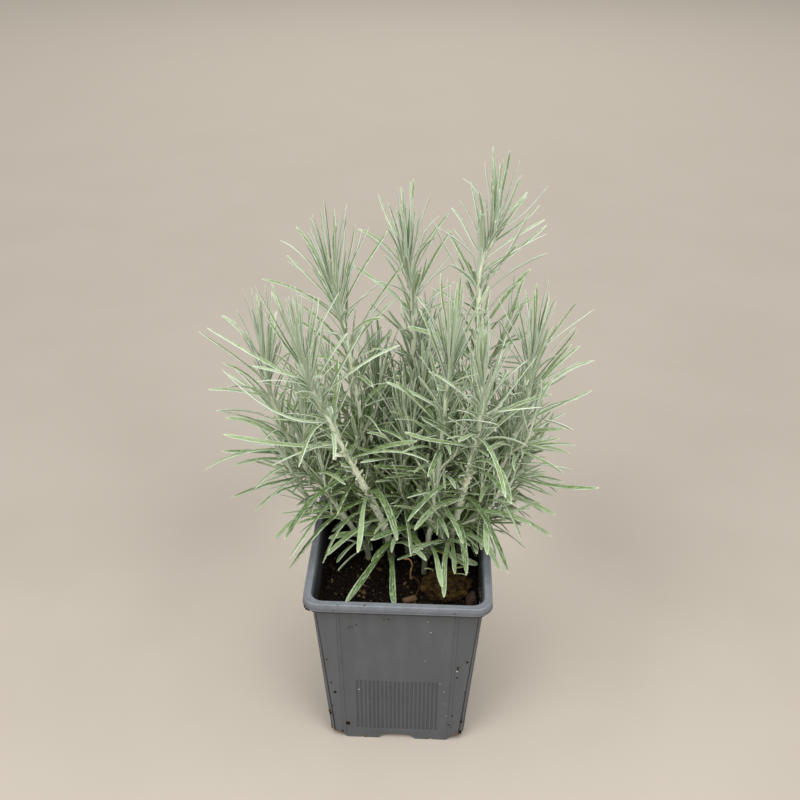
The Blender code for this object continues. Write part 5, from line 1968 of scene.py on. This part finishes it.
def build_chip(material):
    """A flake of bark with a split, fibrous edge."""
    cx, cy, half_x, half_y, height, turn = CHIP
    rng = random.Random(5)
    cos, sin = math.cos(turn), math.sin(turn)
    sides = 40
    edge = []
    for k in range(sides):
        a = 2 * math.pi * k / sides
        square = max(abs(math.cos(a)), abs(math.sin(a)))
        edge.append((math.cos(a) / square**0.7, math.sin(a) / square**0.7 * rng.uniform(0.9, 1.06)))
    rows = []
    for wide, up in ((0.94, 0.0), (1.0, 0.25), (0.99, 0.7), (0.9, 1.0), (0.6, 1.05), (0.3, 0.95)):
        row = []
        for u, v in edge:
            x, y = u * half_x * wide * 0.86, v * half_y * wide * 0.86
            rough = 0.85 + 0.15 * noise.noise(Vector((x, y * 3, 1.0)))
            z = PAD_LEVEL + HOLE_GAP + up * height * rough
            row.append((cx + cos * x - sin * y, cy + sin * x + cos * y, z))
        rows.append(row)
    points = [p for row in rows for p in row] + [(cx, cy, PAD_LEVEL + HOLE_GAP + height)]
    builder = MeshBuilder()
    builder.add(points, tipped_faces(len(rows), sides), 0, (0, 0, 0), (0.0, 0.5, 0.0))
    piece = builder.build("bark_flake", [material], 45)
    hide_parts("bark_chip")
    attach(piece, "root")


# Dry roots that curl over the compost: place, and height above it
DRY_ROOTS = (
    ((4.8, -4.8, 1.0), (7.6, -6.2, 1.6), (9.6, -9.6, 2.0), (9.6, -14.0, 1.6), (8.2, -18.6, 1.0)),
    ((-20.0, -12.0, 0.6), (-17.0, -13.4, 1.2), (-14.6, -12.6, 0.8)),
    ((-6.0, -16.0, 0.5), (-4.2, -19.0, 1.3), (-1.0, -20.6, 0.7)),
)
ROOT_RADIUS = 0.24


def build_roots(material):
    builder = MeshBuilder()
    for points in DRY_ROOTS:
        lifted = [(x, y, rough_soil(x, y) + lift) for x, y, lift in points]
        curve = smooth_curve(np.array(lifted), 8)
        radii = ROOT_RADIUS * np.linspace(1.0, 0.5, len(curve))
        add_tube(builder, curve, radii, 8, (0.0, 0.5, 0.0))
    piece = builder.build("dry_roots", [material])
    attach(piece, "root")


# Fallen leaves: place of the root end, direction, length and width
FALLEN_LEAVES = (
    (27.0, -7.0, 8, 6.0, 1.3),
    (17.0, -9.0, 172, 5.0, 1.1),
    (26.5, -11.0, -12, 7.0, 1.2),
    (31.0, -3.0, 30, 5.0, 1.2),
)


def build_fallen_leaves(material):
    rng = random.Random(61)
    builder = MeshBuilder()
    for x, y, angle, length, width in FALLEN_LEAVES:
        way = np.array((math.cos(math.radians(angle)), math.sin(math.radians(angle)), 0.0))
        places = [np.array((x, y, 0.0)) + way * length * share for share in (0.0, 0.5, 1.0)]
        for place in places:
            place[2] = ground_height(place[0], place[1]) + 0.9
        places[1][2] += 1.2
        leaf = (*places, width, np.array((0.0, 0.0, 1.0)), rng.uniform(-0.4, 0.4))
        add_blade(builder, Blade(leaf, 1.0, False), rng)
    piece = builder.build("fallen_leaves", [material])
    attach(piece, "root")


def build_stalk(material):
    curve = smooth_curve(np.array(STALK_POINTS), 8)[8:]
    curve = np.vstack([STALK_POINTS[0], curve])
    builder = MeshBuilder()
    radii = STALK_RADIUS * (0.58 + 0.1 * np.sin(np.linspace(0, 17, len(curve))))
    add_tube(builder, curve, radii, 12, (0.0, 0.5, 0.0))
    piece = builder.build("dry_loop", [material])
    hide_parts("dry_stalk")
    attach(piece, "root")


# Stage, in metres


# The floor's colours by how far back, painted shading as on a paper sweep, each range being where the
# next colour comes in, and the painted pool of light around the pot that lifts the plant's shadow
FLOOR_HALF = 4.0
FLOOR_NEAR = (0.445, 0.397, 0.338)
FLOOR_MIDDLE = (0.41, 0.363, 0.306)
FLOOR_FAR = (0.745, 0.663, 0.555)
FLOOR_FADE = (-0.15, 0.04)
FLOOR_PAINTED_LIGHT = (0.565, 0.50, 0.42)
PAINTED_LIGHT_MIDDLE = 0.08
PAINTED_LIGHT_REACH = (0.04, 0.15)
FLOOR_RISE = (0.1, 1.8)
CAMERA_PLACE = (0.01487, -0.4284, 0.4503)
CAMERA_YAW = math.radians(2.11)
CAMERA_PITCH = math.radians(31.66)
CAMERA_ROLL = math.radians(0.43)
FOCAL_PIXELS = 1096.0
PICTURE_PIXELS = 800.0
SENSOR_WIDTH = 36.0

# Round lights: name, place, width and watts
LIGHTS = (
    ("left", (-0.9, -1.0, 1.3), 1.2, 16.5),
    ("right", (0.9, -1.0, 1.3), 1.2, 15.5),
    ("top", (0.0, -0.4, 1.7), 1.5, 21.5),
    ("back", (0.0, 1.5, 1.1), 1.2, 3.0),
)
LIGHT_TARGET = (0.0, 0.0, 0.14)
SKY_COLOUR = (0.97, 0.985, 1.0, 1.0)
SKY_STRENGTH = 0.3


def make_camera():
    """The camera of the photograph: place, aim and focal length fitted to the pot's edges."""
    yaw, pitch, roll = CAMERA_YAW, CAMERA_PITCH, CAMERA_ROLL
    flat = math.cos(pitch)
    forward = Vector((-math.sin(yaw) * flat, math.cos(yaw) * flat, -math.sin(pitch)))
    level = Vector((math.cos(yaw), math.sin(yaw), 0.0))
    upright = level.cross(forward)
    right = level * math.cos(roll) + upright * math.sin(roll)
    up = upright * math.cos(roll) - level * math.sin(roll)
    data = bpy.data.cameras.new("photo_camera")
    data.sensor_width = SENSOR_WIDTH
    data.lens = FOCAL_PIXELS * SENSOR_WIDTH / PICTURE_PIXELS
    data.clip_start = 0.01
    camera = bpy.data.objects.new("photo_camera", data)
    aim = Matrix((right, up, -forward)).transposed().to_4x4()
    camera.matrix_world = Matrix.Translation(CAMERA_PLACE) @ aim
    bpy.context.scene.collection.objects.link(camera)
    bpy.context.scene.camera = camera


def make_floor():
    corners = [(x * FLOOR_HALF, y * FLOOR_HALF, 0.0) for x, y in ((-1, -1), (1, -1), (1, 1), (-1, 1))]
    mesh = bpy.data.meshes.new("floor")
    mesh.from_pydata(corners, [], [(0, 1, 2, 3)])
    mesh.materials.append(floor_material())
    floor = bpy.data.objects.new("floor", mesh)
    bpy.context.scene.collection.objects.link(floor)


def make_lights():
    for name, place, size, watts in LIGHTS:
        data = bpy.data.lights.new(name, "AREA")
        data.shape = "DISK"
        data.size = size
        data.energy = watts
        light = bpy.data.objects.new(name, data)
        light.location = place
        aim = Vector(LIGHT_TARGET) - Vector(place)
        light.rotation_euler = aim.to_track_quat("-Z", "Y").to_euler()
        bpy.context.scene.collection.objects.link(light)
    world = bpy.data.worlds.new("studio")
    world.use_nodes = True
    background = world.node_tree.nodes["Background"]
    background.inputs["Color"].default_value = SKY_COLOUR
    background.inputs["Strength"].default_value = SKY_STRENGTH
    bpy.context.scene.world = world
    bpy.context.scene.view_settings.view_transform = "Standard"


def main():
    make_camera()
    make_floor()
    make_lights()
    soil = soil_material("damp_peat", PEAT_DARK, PEAT_BROWN, CRUMB_TAN)
    build_pot(pot_material())
    build_wall_dirt(soil, dust_material())
    build_compost(soil)
    build_crumbs(soil)
    build_clod("clod_mossy", moss_material(), 0.2, MOSS_STRANDS, 11)
    brown = soil_material("brown_clod", BROWN_CLOD_DARK, BROWN_CLOD, CRUMB_TAN)
    build_clod("clod_corner", brown, 0.16, 0, 12)
    build_chip(bark_material())
    dry = stalk_material()
    build_stalk(dry)
    build_roots(bark_material())
    materials = [leaf_material(), stem_material()]
    build_fallen_leaves(materials[0])
    room = Room(0.0, NEAR_ENOUGH)
    plant = grow_plant()
    for owner, name in enumerate(STEMS):
        curve, leaves = plant[name]
        room.add(curve, stem_radii(len(curve) - 1), owner)
        for leaf in leaves:
            room.add(*leaf_room(leaf), owner)
    for owner, name in enumerate(STEMS):
        curve, leaves = plant[name]
        build_leafy_stem(name, owner, curve, leaves, room, materials)


main()
